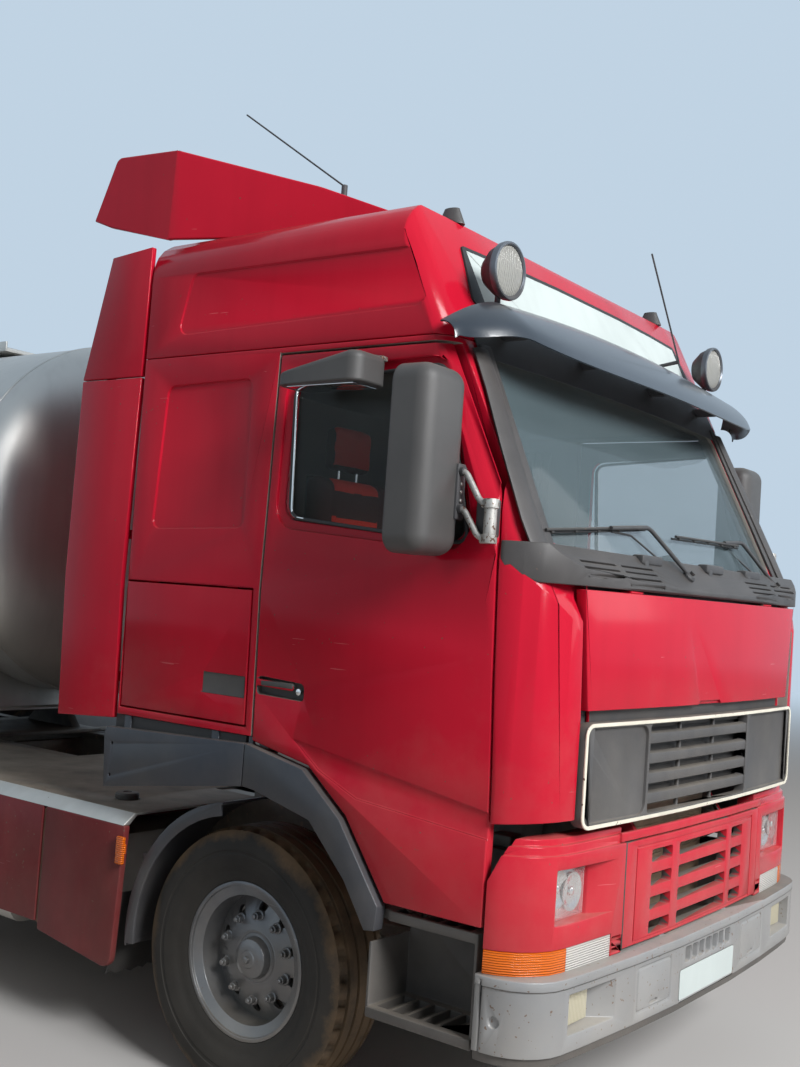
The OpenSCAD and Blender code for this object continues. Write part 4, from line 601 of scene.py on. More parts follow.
# finish, edge radius in metres, nodes
plain_nodes = [
    (red_paint, 0.004, ["cab_roof", "side_fairings"]),
    (red_skirt, 0.004, ["side_skirts"]),
    (black_plastic, 0.003, ["steps"]),
    (pillar_grey, 0.003, ["scuttle"]),
    (guard_blue, 0.003, ["mudguards", "arch_trims"]),
    (chassis_black, 0.002, ["frame", "front_axle", "drive_axle", "fifth_wheel", "knuckle_r", "knuckle_l",
                            "landing_legs", "trailer_axles"]),
    (engine_iron, 0.004, ["drivetrain"]),
    (core_fins, 0.001, ["radiator"]),
    (old_aluminium, 0.002, ["side_tanks", "walkway", "trailer_frame"]),
    (black_plastic, 0.002, ["trailer_guards", "antennas"]),
    (tank_steel, 0.003, ["manhole_lid_1", "manhole_lid_2"]),
    (cabin_plastic, 0.004, ["dashboard"]),
]
dressed = {}
dressed["deck"] = dress("deck", old_aluminium, 0.002, extra=[(deck_plate, lambda c, n: n.z > 0.9)])
for material, width, names in plain_nodes:
    for node in names:
        dressed[node] = dress(node, material, width)
print(len(dressed), "nodes dressed", sum(len(o.data.polygons) for o in dressed.values()), "faces")

# %% [markdown]
# Some solids carry two finishes, as the real pieces do: a door is painted outside and lined inside, a headlamp
# frame is red with black wells, a mirror is a grey shell round a glass. The faces of the second finish are told
# apart by where they lie and which way they face. The black on the walls behind the upper grille is painted shade.

# %% Cab shell, doors and glass
def lined(c, n):
    """Faces that look into the cabin."""
    if abs(c.y) >= HALF - 0.055:
        return False
    from_side = c.y * n.y < -0.5 * abs(c.y)
    from_end = n.x > 0.4 if c.x < ahead(300) else n.x < -0.4 or abs(n.z) > 0.6
    return from_side or (abs(n.y) < 0.5 and ahead(-700) < c.x < ahead(1255) and c.z > 1.37 and from_end)


def grille_shade_faces(c, n):
    """Faces of the cab's front wall that show behind the upper grille; they are painted black as the shade there."""
    return n.x > 0.7 and abs(c.y) < 0.95 and 1.1 < c.z < 2.05 and ahead(1200) < c.x < ahead(1303)


def door_grip(c, n):
    """Faces of the recess of the door's handle."""
    return ahead(50) < c.x < ahead(292) and 1.524 < c.z < 1.606 and 1.15 < abs(c.y) < 1.230


def window_edge(c, n):
    """Faces round the opening of the door's window."""
    return abs(n.y) < 0.35 and ahead(150) < c.x < ahead(1010) and 2.08 < c.z < 2.80 and abs(c.y) < HALF - 0.036


def lid_grip(c, n):
    """Faces of the recess of the locker lid's handle."""
    return ahead(-236) < c.x < ahead(-11) and 1.508 < c.z < 1.592 and abs(c.y) > 1.2


dressed["cab_body"] = dress("cab_body", red_paint, 0.004, extra=[
    (cabin_cloth, lined), (black_plastic, grille_shade_faces)])
for side, s in (("r", -1), ("l", 1)):
    dressed["door_" + side] = dress("door_" + side, red_paint, 0.005, extra=[
        (cabin_plastic, lambda c, n, s=s: s * n.y < -0.3), (black_plastic, door_grip), (black_rubber, window_edge)])
    dressed["door_glass_" + side] = dress("door_glass_" + side, window_glass, 0.001)
for side in "rl":
    dressed["locker_lid_" + side] = dress("locker_lid_" + side, red_paint, 0.004, extra=[(black_plastic, lid_grip)])
dressed["windscreen"] = dress("windscreen", screen_glass, 0.001)

# %% Nose: bumper, lamp frames, grilles, lamps
def bumper_well(c, n):
    """Faces of the bumper's openings and of its lower lip."""
    return (n.x < 0.5 and c.x < ahead(1290) and abs(c.y) < 1.04 and abs(n.y) < 0.7) or c.z < 0.50


dressed["bumper"] = dress("bumper", bumper_grey, 0.004, extra=[(black_plastic, bumper_well)])
dressed["lamp_panel"] = dress("lamp_panel", red_paint, 0.004, extra=[
    (black_plastic, lambda c, n: n.x < -0.8 and c.x < ahead(1215))])
# the front lid's walls behind the upper grille are painted black as shade
dressed["front_lid"] = dress("front_lid", red_paint, 0.003, extra=[
    (black_plastic, lambda c, n: abs(c.y) < 0.96 and 1.19 < c.z < 1.58 and c.x < ahead(1322))])
dressed["lower_grille"] = dress("lower_grille", red_paint, 0.0012, dissolve=0, extra=[
    (black_plastic, lambda c, n: c.x < ahead(1318))])
dressed["upper_grille"] = dress("upper_grille", black_plastic, 0.003)

dressed["tail_lamps"] = dress("tail_lamps", red_lens, 0.003, extra=[
    (pale_sign, lambda c, n: abs(c.y) < 0.3 and c.z < 0.7),
    (amber_lens, lambda c, n: abs(c.y) > 1.02 or c.x > -3.0),
    (grey_plastic, lambda c, n: n.x > -0.5)])


# %% [markdown]
# Small parts are made with a handful of helpers, each a short run of modelling steps. A block is a cube pulled
# to its two corners and bevelled. A turned part is a half outline spun round an axis. A tube is a line with a
# round section. Pieces that belong together are joined, and each one rides with the body that carries it.

# %% Helpers for small parts
def made_now(name):
    """Names the active new object and puts its place into its mesh."""
    obj = bpy.context.object
    obj.name = name
    bpy.ops.object.transform_apply(location=True, rotation=True, scale=True)
    return obj


def block(name, low, high, material, bevel=0.004, segments=2):
    """A bevelled block between two corners."""
    bpy.ops.object.select_all(action="DESELECT")
    low, high = Vector(low), Vector(high)
    bpy.ops.mesh.primitive_cube_add(size=1, location=(low + high) / 2)
    bpy.context.object.scale = high - low
    obj = made_now(name)
    obj.data.materials.append(material)
    bpy.ops.object.mode_set(mode="EDIT")
    bpy.ops.mesh.select_all(action="SELECT")
    bpy.ops.mesh.bevel(offset=min(bevel, min(high - low) * 0.45), segments=segments, affect="EDGES")
    bpy.ops.object.mode_set(mode="OBJECT")
    bpy.ops.object.shade_smooth_by_angle(angle=SMOOTH_BELOW)
    return obj


def turned(name, outline, base, direction, material, steps=32, closed=False, angle=30):
    """A part spun round an axis from an outline of (radius, along) pairs in metres, from base along direction."""
    mesh = bpy.data.meshes.new(name)
    count = len(outline)
    pairs = [(k, (k + 1) % count) for k in range(count if closed else count - 1)]
    mesh.from_pydata([(r, 0, a) for r, a in outline], pairs, [])
    obj = bpy.data.objects.new(name, mesh)
    scene.collection.objects.link(obj)
    only(obj)
    bpy.ops.object.mode_set(mode="EDIT")
    bpy.ops.mesh.select_all(action="SELECT")
    bpy.ops.mesh.spin(steps=steps, angle=2 * math.pi, center=(0, 0, 0), axis=(0, 0, 1))
    bpy.ops.mesh.select_all(action="SELECT")
    bpy.ops.mesh.remove_doubles(threshold=0.00005)
    bpy.ops.mesh.normals_make_consistent(inside=False)
    bpy.ops.object.mode_set(mode="OBJECT")
    turn = Vector(direction).normalized().to_track_quat("Z", "X").to_matrix().to_4x4()
    mesh.transform(Matrix.Translation(Vector(base)) @ turn)
    mesh.materials.append(material)
    only(obj)
    bpy.ops.object.shade_smooth_by_angle(angle=math.radians(angle))
    return obj


def tube(name, points, radius, material, sides=4, round_bends=True):
    """A round rod or pipe along points, with closed ends."""
    curve = bpy.data.curves.new(name, "CURVE")
    curve.dimensions = "3D"
    curve.bevel_depth = radius
    curve.bevel_resolution = sides
    curve.use_fill_caps = True
    spline = curve.splines.new("POLY")
    line = [Vector(p) for p in points]
    if round_bends and len(line) > 2:
        smooth = [line[0]]
        for a, b, c in zip(line, line[1:], line[2:]):
            reach = min(radius * 3.5, (b - a).length * 0.45, (c - b).length * 0.45)
            start, end = b + (a - b).normalized() * reach, b + (c - b).normalized() * reach
            smooth += [start.lerp(b, t).lerp(b.lerp(end, t), t) for t in (0, 0.25, 0.5, 0.75, 1)]
        line = smooth + [line[-1]]
    spline.points.add(len(line) - 1)
    for point, place in zip(spline.points, line):
        point.co = (*place, 1)
    obj = bpy.data.objects.new(name, curve)
    scene.collection.objects.link(obj)
    only(obj)
    bpy.ops.object.convert(target="MESH")
    obj = bpy.context.object
    bpy.ops.object.mode_set(mode="EDIT")
    bpy.ops.mesh.select_all(action="SELECT")
    bpy.ops.mesh.remove_doubles(threshold=0.00005)
    bpy.ops.mesh.normals_make_consistent(inside=False)
    bpy.ops.object.mode_set(mode="OBJECT")
    obj.data.materials.clear()
    obj.data.materials.append(material)
    bpy.ops.object.shade_smooth_by_angle(angle=BENT_SMOOTH)
    return obj


def joined(name, parts):
    """Several objects joined into one piece."""
    only(parts[0])
    for obj in parts[1:]:
        obj.select_set(True)
    if len(parts) > 1:
        bpy.ops.object.join()
    parts[0].name = name
    return parts[0]


def copied(obj, name, matrix):
    """A copy with its own mesh, moved by a matrix; its faces are turned back where the matrix mirrors it."""
    twin = bpy.data.objects.new(name, obj.data.copy())
    scene.collection.objects.link(twin)
    twin.data.transform(matrix)
    if matrix.determinant() < 0:
        twin.data.flip_normals()
    return twin


def sheet(name, columns, rows, place, material, thick, offset=-1.0):
    """A grid whose points go where place(across, along) says, both from -0.5 to 0.5, given a thickness."""
    bpy.ops.object.select_all(action="DESELECT")
    bpy.ops.mesh.primitive_grid_add(x_subdivisions=columns, y_subdivisions=rows, size=1)
    obj = made_now(name)
    for vertex in obj.data.vertices:
        vertex.co = place(vertex.co.x, vertex.co.y)
    obj.data.materials.append(material)
    mod = obj.modifiers.new("sheet", "SOLIDIFY")
    mod.thickness = thick
    mod.offset = offset
    apply_all(obj)
    return obj


def face_out(obj):
    """Turns all faces of an object outward."""
    only(obj)
    bpy.ops.object.mode_set(mode="EDIT")
    bpy.ops.mesh.select_all(action="SELECT")
    bpy.ops.mesh.normals_make_consistent(inside=False)
    bpy.ops.object.mode_set(mode="OBJECT")


MIRROR_Y = Matrix.Diagonal((1, -1, 1, 1))


def keep(obj, body):
    """The piece is done: it rides with its body."""
    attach(obj, body)
    return obj


def drop(obj):
    """Removes a model that was only there to be copied."""
    bpy.data.objects.remove(obj)


def nose_x(y):
    """How far forward the bowed nose stands at a place across the cab, in metres from the front axle."""
    rows = [(0.0, 1.3422), (0.275, 1.3422), (0.625, 1.3305), (0.9375, 1.3124), (1.25, 1.287)]
    y = min(abs(y), 1.249)
    for (y0, x0), (y1, x1) in zip(rows, rows[1:]):
        if y <= y1:
            return x0 + (x1 - x0) * (y - y0) / (y1 - y0)


# %% [markdown]
# The road tyre is one ring of rubber: rounded shoulders, four grooves round the tread, a bulged wall with a few
# raised lines and a bead. Its outline is spun about the axle, then every third slice of the two shoulders is
# pushed in to make the tread blocks. Each point also remembers its distance from the axle, and the rubber's
# finish uses that to lay dried mud on the shoulders.

# %% The tyre and its rubber
RIM_R = 0.298
SLICES = 108         # steps round the tyre
BLOCK_GAP = 0.009    # depth of the gaps between the tread blocks


def tyre(name, radius, width):
    """A tyre about the origin's Y axis; each point remembers how far out it is, 0 at the bead and 1 at the tread."""
    half = width / 2
    groove = 0.30 * width
    # depth under the tread's radius and place from the middle, from the tyre's middle out to the shoulder
    tread = [(radius - deep, y) for deep, y in (
        (0.0005, 0.022), (0.012, 0.026), (0.012, 0.033), (0.0008, 0.037),
        (0.001, groove - 0.012), (0.012, groove - 0.008), (0.012, groove - 0.001), (0.0015, groove + 0.003),
        (0.003, half - 0.045))]
    # depth under the tread's radius and distance in from the side, down the wall
    wall = [(radius - deep, half - y) for deep, y in (
        (0.012, 0.022), (0.035, 0.008), (0.062, 0.0005), (0.085, 0.001),
        (0.088, 0.004), (0.100, 0.005), (0.103, 0.003), (0.135, 0.008))]
    # height over the rim and distance in from the side, down to the bead
    foot = [(RIM_R + high, half - y) for high, y in (
        (0.050, 0.018), (0.046, 0.021), (0.028, 0.027), (0.012, 0.032), (0.001, 0.040))]
    right_half = tread + wall + foot
    outline = right_half + [(r, -a) for r, a in reversed(right_half)]
    obj = turned(name, outline, (0, 0, 0), (0, 1, 0), tyre_rubber, steps=SLICES, closed=True, angle=35)

    def in_a_slot(face):
        c = face.center
        slice_number = int(math.atan2(c.z, c.x) % (2 * math.pi) / (2 * math.pi) * SLICES)
        return slice_number % 3 == 0 and math.hypot(c.x, c.z) > radius - 0.009 and abs(c.y) > groove + 0.004

    pick_faces(obj, in_a_slot)
    bpy.ops.object.mode_set(mode="EDIT")
    bpy.ops.mesh.extrude_region_shrink_fatten(TRANSFORM_OT_shrink_fatten={"value": -BLOCK_GAP})
    bpy.ops.mesh.select_mode(type="VERT")
    bpy.ops.object.mode_set(mode="OBJECT")
    row = obj.data.attributes.new("from_axle", "FLOAT", "POINT")
    for vertex, item in zip(obj.data.vertices, row.data):
        item.value = (math.hypot(vertex.co.x, vertex.co.z) - RIM_R) / (radius - RIM_R)
    return obj


tree = tyre_rubber.node_tree
shader = tree.nodes["Principled BSDF"]
clean = shader.inputs["Base Color"].links[0].from_socket
ring = add(tree, "Attribute", attribute_name="from_axle")
spot = add(tree, "TexCoord")
blotch = add(tree, "TexNoise", Scale=5.0, Detail=6.0, Roughness=0.7)
tree.links.new(spot.outputs["Object"], blotch.inputs["Vector"])
ragged = math_node(tree, "MULTIPLY", math_node(tree, "SUBTRACT", blotch.outputs[0], 0.5), 0.9)
ragged = math_node(tree, "ADD", ring.outputs["Fac"], ragged)
mud = add(tree, "MapRange")
mud.inputs["From Min"].default_value = 0.74
mud.inputs["From Max"].default_value = 1.0
tree.links.new(ragged, mud.inputs[0])
MUD = (0.17, 0.11, 0.06, 1)
muddy = mix_colour(tree, math_node(tree, "MULTIPLY", mud.outputs[0], 0.7), clean, MUD)
tree.links.new(muddy, shader.inputs["Base Color"])

small = tyre("tyre_model", 0.505, 0.300)
wide = tyre("wide_tyre_model", 0.530, 0.370)
print("tyre faces", len(small.data.polygons), len(wide.data.polygons))

# %% [markdown]
# The pressed steel wheel is the CAD rim with its edges softened, and what a mechanic would see on it:
# ten nuts on their studs in a ring, and a turned hub cap with a step round it. The nut is a six-sided cylinder
# on a washer, with the end of the stud showing. One nut is modelled, and its copies go round each wheel.

# %% A wheel nut
bpy.ops.object.select_all(action="DESELECT")
bpy.ops.mesh.primitive_cylinder_add(vertices=6, radius=0.0165, depth=0.024, location=(0, 0, 0.015))
hexagon = made_now("hexagon")
bpy.ops.object.mode_set(mode="EDIT")
bpy.ops.mesh.select_all(action="SELECT")
bpy.ops.mesh.bevel(offset=0.002, segments=1, affect="EDGES")
bpy.ops.object.mode_set(mode="OBJECT")
hexagon.data.materials.append(wheel_silver)
washer = turned("washer", [(0.0, -0.006), (0.0225, -0.006), (0.0225, 0.003), (0.019, 0.006), (0, 0.006)], (0, 0, 0),
                (0, 0, 1), wheel_silver, steps=16)
stud = turned("stud", [(0.0, 0.02), (0.0095, 0.02), (0.0095, 0.036), (0.007, 0.039), (0, 0.039)], (0, 0, 0),
              (0, 0, 1), wheel_silver, steps=12)
nut = joined("nut_model", [hexagon, washer, stud])


def rims_of(node):
    """The rims of a node without its tyres, softened."""
    obj = copy_node(node, "rims_" + node)
    only(obj)
    bpy.ops.mesh.separate(type="LOOSE")
    parts = list(bpy.context.selected_objects)
    low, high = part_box(node)
    hub = Vector(((low[0] + high[0]) / 2, 0, (low[2] + high[2]) / 2))
    rims = []
    for part in parts:
        reach = max(math.hypot(v.co.x - hub.x, v.co.z - hub.z) for v in part.data.vertices)
        if reach > 0.4:
            drop(part)
        else:
            rims.append(part)
    obj = joined("rims_" + node, rims)
    obj.data.materials.append(wheel_silver)
    soften(obj, 0.002)
    return obj


def nuts_on(name, hub, side, face_y, radius, count=10):
    """A ring of nuts on a wheel's disc; side is -1 on the right and 1 on the left."""
    ring = []
    for k in range(count):
        a = 2 * math.pi * (k + 0.5) / count
        place = Matrix.Translation((hub.x + radius * math.cos(a), side * face_y, hub.z + radius * math.sin(a)))
        ring.append(copied(nut, f"{name}_{k}", place @ Matrix.Rotation(-side * math.pi / 2, 4, "X")))
    return joined(name, ring)


# %% Put the wheels together
# outlines of (radius, height over the disc)
HUB_CAP = [(0.036, -0.004), (0.036, 0.005), (0.031, 0.010), (0.015, 0.012), (0.013, 0.021), (0.008, 0.024),
           (0, 0.024)]
HUB_STEP = [(0.088, -0.003), (0.090, 0.004), (0.094, 0.007), (0.102, 0.007), (0.106, 0.004), (0.108, -0.003)]
# tyre node, rim node, joint, tyre model, tyre middles, outer disc's face, radius of the ring of nuts, body, side
wheel_rows = []
for s, side, name in ((-1, "r", "right"), (1, "l", "left")):
    wheel_rows += [("tyre_f" + side, "rim_f" + side, f"roll_front_{name}", small, [1.030], 1.0645, 0.160,
                    f"wheel_front_{name}", s),
                   (None, "drive_wheels_" + side, f"roll_drive_{name}", small, [1.080, 0.735], 0.9275, 0.122,
                    f"wheels_drive_{name}", s)]
    wheel_rows += [(None, f"trailer_wheel_{k}{side}", f"roll_trailer_{k}_{name}", wide, [1.035], 1.1295, 0.160,
                    f"trailer_wheel_{k}_{name}", s) for k in (1, 2, 3)]
for tyre_node, rim_node, joint, model, middles, face_y, ring_r, body, s in wheel_rows:
    hub = joint_place[joint]
    rim = rims_of(rim_node)
    middle = (hub.x, s * (face_y + 0.0445), hub.z)
    cap = turned("cap_" + rim_node, HUB_CAP, middle, (0, s, 0), wheel_silver, steps=32)
    step = turned("step_" + rim_node, HUB_STEP, (hub.x, s * face_y, hub.z), (0, s, 0), wheel_silver, steps=64)
    rim = joined("wheel_" + rim_node, [rim, cap, step, nuts_on("nuts_" + rim_node, hub, s, face_y, ring_r)])
    keep(rim, body)
    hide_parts(rim_node)
    tyres = []
    for n, y in enumerate(middles):
        place = Matrix.Translation((hub.x, s * y, hub.z)) @ Matrix.Rotation(0.3 * n + 0.1, 4, "Y")
        tyres.append(copied(model, f"rubber_{rim_node}_{n}", place))
    tyres = joined("rubber_" + rim_node, tyres)
    keep(tyres, body)
    if tyre_node:
        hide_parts(tyre_node)
print("wheels", len(wheel_rows))
for model in (small, wide, nut):
    drop(model)

# %% [markdown]
# The node of the roof lamps holds several loose shells: two round lamps, the small housings and the sign board.
# The board is told apart by its width, gets a dark rim by an inset of its front, and stays blank. A bowed glass
# and a bright rim, both turned, close the front of each round lamp.

# %% Roof lamps and the blank sign
roof_parts = copy_node("roof_lamps", "roof_parts")
only(roof_parts)
bpy.ops.mesh.separate(type="LOOSE")
lamp_shells, sign_shells = [], []
for part in list(bpy.context.selected_objects):
    reach = [max(v.co[k] for v in part.data.vertices) - min(v.co[k] for v in part.data.vertices) for k in range(3)]
    (sign_shells if reach[1] > 1.4 else lamp_shells).append(part)
print("roof shells", len(lamp_shells), "lamps,", len(sign_shells), "sign")
sign = sign_shells[0]
sign.data.materials.append(pale_sign)
sign.data.materials.append(black_rubber)
pick_faces(sign, lambda face: face.normal.x > 0.3 and face.area > 0.01)
bpy.ops.object.mode_set(mode="EDIT")
bpy.ops.mesh.inset(thickness=0.016, depth=-0.002)
bpy.ops.mesh.select_mode(type="VERT")
bpy.ops.object.mode_set(mode="OBJECT")
for face in sign.data.polygons:
    face.material_index = 0 if face.select else 1
soften(sign, 0)
roof_lamp_set = joined("roof_lamp_set", lamp_shells)
roof_lamp_set.data.materials.append(black_plastic)
roof_lamp_set.data.materials.append(roof_glass)
roof_lamp_set.data.materials.append(grey_plastic)
MARKERS_FROM = 3.3    # the small marker lamps sit above this height
for face in roof_lamp_set.data.polygons:
    face.material_index = 2 if face.center.z > MARKERS_FROM else 0
soften(roof_lamp_set, 0.0015)
BOWED_GLASS = [(0.093, -0.006), (0.093, 0.002), (0.088, 0.006), (0.070, 0.011), (0.042, 0.0155), (0.018, 0.0175),
               (0, 0.018)]
BRIGHT_RIM = [(0.1045, -0.014), (0.1075, 0.002), (0.1055, 0.011), (0.098, 0.0135), (0.0925, 0.007), (0.0925, -0.004)]
BEAM = (1, 0, -0.04)
glasses = []
for s in (-1, 1):
    lamp_face = cab(870, s * 945, 3143)
    glasses.append(turned(f"roof_glass_{s}", BOWED_GLASS, lamp_face, BEAM, roof_glass, steps=48))
    glasses.append(turned(f"roof_rim_{s}", BRIGHT_RIM, lamp_face, BEAM, wheel_silver, steps=48, closed=True))
roof_lamp_set = joined("roof_lamp_set", [roof_lamp_set] + glasses)
for piece in (sign, roof_lamp_set):
    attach(piece, "cab")
    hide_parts("roof_lamps")
dressed["roof_lamps"] = roof_lamp_set

# %% [markdown]
# A lamp is three things: a bright dish, a bulb with its cap in front of it, and a ribbed glass over both. The
# dishes are half outlines spun round the beam's direction. The glass is a thin bevelled plate, so the light goes
# through it twice and the dish behind still shows. Of the lamps' solids, the low lenses and side markers stay.

# %% Head lamps and fog lamps
def keep_parts(obj, test):
    """Keeps the separate shells of an object whose middle passes a test, joined again."""
    name = obj.name
    only(obj)
    bpy.ops.mesh.separate(type="LOOSE")
    kept = []
    for part in list(bpy.context.selected_objects):
        corners = [v.co for v in part.data.vertices]
        middle = sum(corners, Vector()) / len(corners)
        if test(middle):
            kept.append(part)
        else:
            drop(part)
    return joined(name, kept)


def low_lens(p):
    """The low lenses and the side markers, which stay as they are."""
    return not (p.x > ahead(1200) and (0.89 < p.z < 1.09 or p.z < 0.70))


lenses = copy_node("lamps", "low_lenses")
lenses = keep_parts(lenses, low_lens)
lenses.data.materials.append(clear_lens)
lenses.data.materials.append(amber_lens)
for face in lenses.data.polygons:
    if abs(face.center.y) > 0.995 or face.center.x < AXLE_X:
        face.material_index = 1
soften(lenses, 0.003)
keep(lenses, "tractor")
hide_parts("lamps")

lamp_pieces = []
for s in (-1, 1):
    # name, back x, front x, y from, y to, z from, z to, dish middles (y, z), dish radius
    for name, x0, x1, y0, y1, z0, z1, dishes, radius in (
            ("head", 1252.4, 1268.2, 834, 1060, 905, 1075, [(905, 985), (1005, 1005)], 66),
            ("fog", 1292.4, 1307, 838, 1028, 564, 682, [(930, 623)], 55)):
        back = block(f"{name}_back_{s}", *side_corners(s, (x0, y0, z0), (x0 + 2.5, y1, z1)), chrome, 0.001)
        lamp_pieces.append(back)
        for n, (y, z) in enumerate(dishes):
            r = radius / 1000
            middle = cab(x0, s * y, z)
            dish = [(r * share, high) for share, high in (
                (1, 0.0105), (0.93, 0.0105), (0.75, 0.0065), (0.5, 0.0035), (0.22, 0.0022), (0, 0.002))]
            bulb = [(r * share, high) for share, high in ((0.20, 0.002), (0.20, 0.010), (0.14, 0.0125), (0, 0.013))]
            lamp_pieces.append(turned(f"{name}_dish_{s}_{n}", dish, middle, (1, 0, 0), chrome, steps=48, angle=60))
            lamp_pieces.append(turned(f"{name}_bulb_{s}_{n}", bulb, middle, (1, 0, 0), chrome, steps=24))
        cover = lamp_glass if name == "head" else fog_glass
        glass = block(f"{name}_glass_{s}", *side_corners(s, (x1 - 2.8, y0, z0), (x1, y1, z1)), cover, 0.0012)
        lamp_pieces.append(glass)
keep(joined("front_lamps", lamp_pieces), "tractor")

# %% [markdown]
# Trim that follows the bowed nose starts as a flat outline: a plane with rounded corners, inset and opened to leave
# a ring. It is cut into short lengths across the cab, given its thickness, and then each point moves back
# by the bow of the nose at its place.

# %% Rings and plates that follow the nose
def flat_shape(name, y0, y1, z0, z1, radius, width=None, thick=0.006, material=None, cuts=0, front=None):
    """A rounded plate or, with a width, a ring. It stands across the lorry, its back at x = 0 or on a front."""
    bpy.ops.object.select_all(action="DESELECT")
    bpy.ops.mesh.primitive_plane_add(size=1, rotation=(0, math.pi / 2, 0), location=(0, (y0 + y1) / 2, (z0 + z1) / 2))
    bpy.context.object.scale = (z1 - z0, y1 - y0, 1)
    obj = made_now(name)
    bpy.ops.object.mode_set(mode="EDIT")
    bpy.ops.mesh.select_all(action="SELECT")
    bpy.ops.mesh.bevel(offset=radius, segments=6, affect="VERTICES")
    if width:
        bpy.ops.mesh.select_all(action="SELECT")
        bpy.ops.mesh.inset(thickness=width)
        bpy.ops.mesh.delete(type="FACE")
    for k in range(1, cuts):
        bpy.ops.mesh.select_all(action="SELECT")
        bpy.ops.mesh.bisect(plane_co=(0, y0 + (y1 - y0) * k / cuts, 0), plane_no=(0, 1, 0))
    bpy.ops.mesh.select_all(action="SELECT")
    bpy.ops.mesh.extrude_region_move(TRANSFORM_OT_translate={"value": (thick, 0, 0)})
    bpy.ops.mesh.select_all(action="SELECT")
    bpy.ops.mesh.normals_make_consistent(inside=False)
    bpy.ops.object.mode_set(mode="OBJECT")
    if front:
        for vertex in obj.data.vertices:
            vertex.co.x += front(vertex.co.y, vertex.co.z)
    obj.data.materials.append(material)
    soften(obj, min(0.0018, thick * 0.3), 1)
    return obj


grille_ring = flat_shape("grille_ring", -0.990, 0.990, 1.205, 1.558, 0.045, width=0.013, thick=0.007,
                         material=pale_trim, cuts=24, front=lambda y, z: AXLE_X + nose_x(y) + 0.0135)
keep(grille_ring, "front_hatch")
number_plate = flat_shape("front_plate", -0.26, 0.26, 0.510, 0.620, 0.010, thick=0.003, material=pale_sign, cuts=8,
                          front=lambda y, z: AXLE_X + nose_x(y) - 1.3422 + 1.3885)
keep(number_plate, "tractor")

# %% [markdown]
# The windscreen carries two long wipers, parked low. Each is an arm on a turned pivot, a thinner link beside it,
# and a rubber blade in a dark carrier held by five claws. They lie on the same lean as the glass, a little in
# front of it. Three washer blocks stand on the dull plastic under the glass.

# %% Wipers and washer blocks
def wiper(name, pivot, bend, tip, blade_a, blade_b):
    """One wiper from its pivot to the two ends of its blade; all points are cab millimetres."""
    pivot, bend, tip, a, b = (cab(*p) for p in (pivot, bend, tip, blade_a, blade_b))
    lift = Vector((0.010, 0, 0.005))
    link = [pivot + Vector((0.004, -0.055, -0.012)), bend + Vector((-0.02, -0.075, -0.03)),
            tip + Vector((0, 0.03, -0.004))]
    boss = [(0, -0.02), (0.026, -0.02), (0.026, 0.012), (0.020, 0.020), (0, 0.022)]
    boss_nut = [(0, 0.02), (0.011, 0.02), (0.011, 0.032), (0, 0.032)]
    off_glass = (0.73, 0, 0.68)
    parts = [tube(name + "_arm", [pivot + lift, bend + lift * 1.6, tip + lift * 1.3], 0.0085, black_plastic),
             tube(name + "_link", link, 0.004, black_plastic),
             turned(name + "_pivot", boss, pivot, off_glass, black_plastic, steps=24),
             turned(name + "_pivot_nut", boss_nut, pivot, off_glass, chassis_black, steps=6)]
    spine = [a.lerp(b, t) + Vector((0.012, 0, 0.006)) for t in (0, 0.5, 1)]
    spine[1] += Vector((0.004, 0, 0))
    parts.append(tube(name + "_carrier", spine, 0.0055, chassis_black, round_bends=False))
    rubber = [a.lerp(b, t) + Vector((0.004 + 0.004 * (1 - abs(2 * t - 1)), 0, -0.004)) for t in (-0.03, 0.5, 1.03)]
    parts.append(tube(name + "_rubber", rubber, 0.0045, black_rubber, sides=2, round_bends=False))
    for t in (0.06, 0.28, 0.5, 0.72, 0.94):
        at, half = a.lerp(b, t) + Vector((0.009, 0, 0.001)), Vector((0.007, 0.009, 0.008))
        parts.append(block(f"{name}_claw_{t}", at - half, at + half, chassis_black, 0.002, 1))
    return joined(name, parts)


near_wiper = wiper("wiper_near", (1290, -166, 2087), (1183, -345, 2258), (1176, -640, 2232), (1162, -1080, 2189),
                   (1166, -340, 2260))
far_wiper = wiper("wiper_far", (1257, 880, 2095), (1146, 705, 2278), (1160, 470, 2262), (1176, -73, 2247),
                  (1156, 640, 2262))
keep(near_wiper, "cab")
keep(far_wiper, "cab")
washers = []
for n, y in enumerate((-437, 150, 600)):
    base = Vector((AXLE_X + nose_x(y / 1000) - 0.094, y / 1000, 2.133))
    box = block(f"washer_{n}", base - Vector((0.022, 0.085, 0.016)), base + Vector((0.026, 0.085, 0.020)),
                black_plastic, 0.008, 3)
    foot = block(f"washer_foot_{n}", base + Vector((-0.01, -0.07, -0.07)), base + Vector((0.028, -0.035, 0.0)),
                 black_plastic, 0.006, 2)
    washers += [box, foot]
keep(joined("washer_blocks", washers), "cab")

# %% [markdown]
# The mirror hangs on two bent tubes from a worn post on the door's edge. Its housing is a block with a large
# radius at the front and a small one round the glass, so the edges are picked by their place and bevelled
# in turn. The left mirror is a mirrored copy with its faces turned back. Only the right door has a kerb mirror.

# %% Door mirrors
worn_alu = finish("worn_alu", (0.34, 0.33, 0.31), 0.5, metal=0.6, tone=0.35, tone_size=14.0, dust=(1.0, 0.0, 0.3),
                  grain=(0.0006, 180.0), chips=(0.5, 90.0))


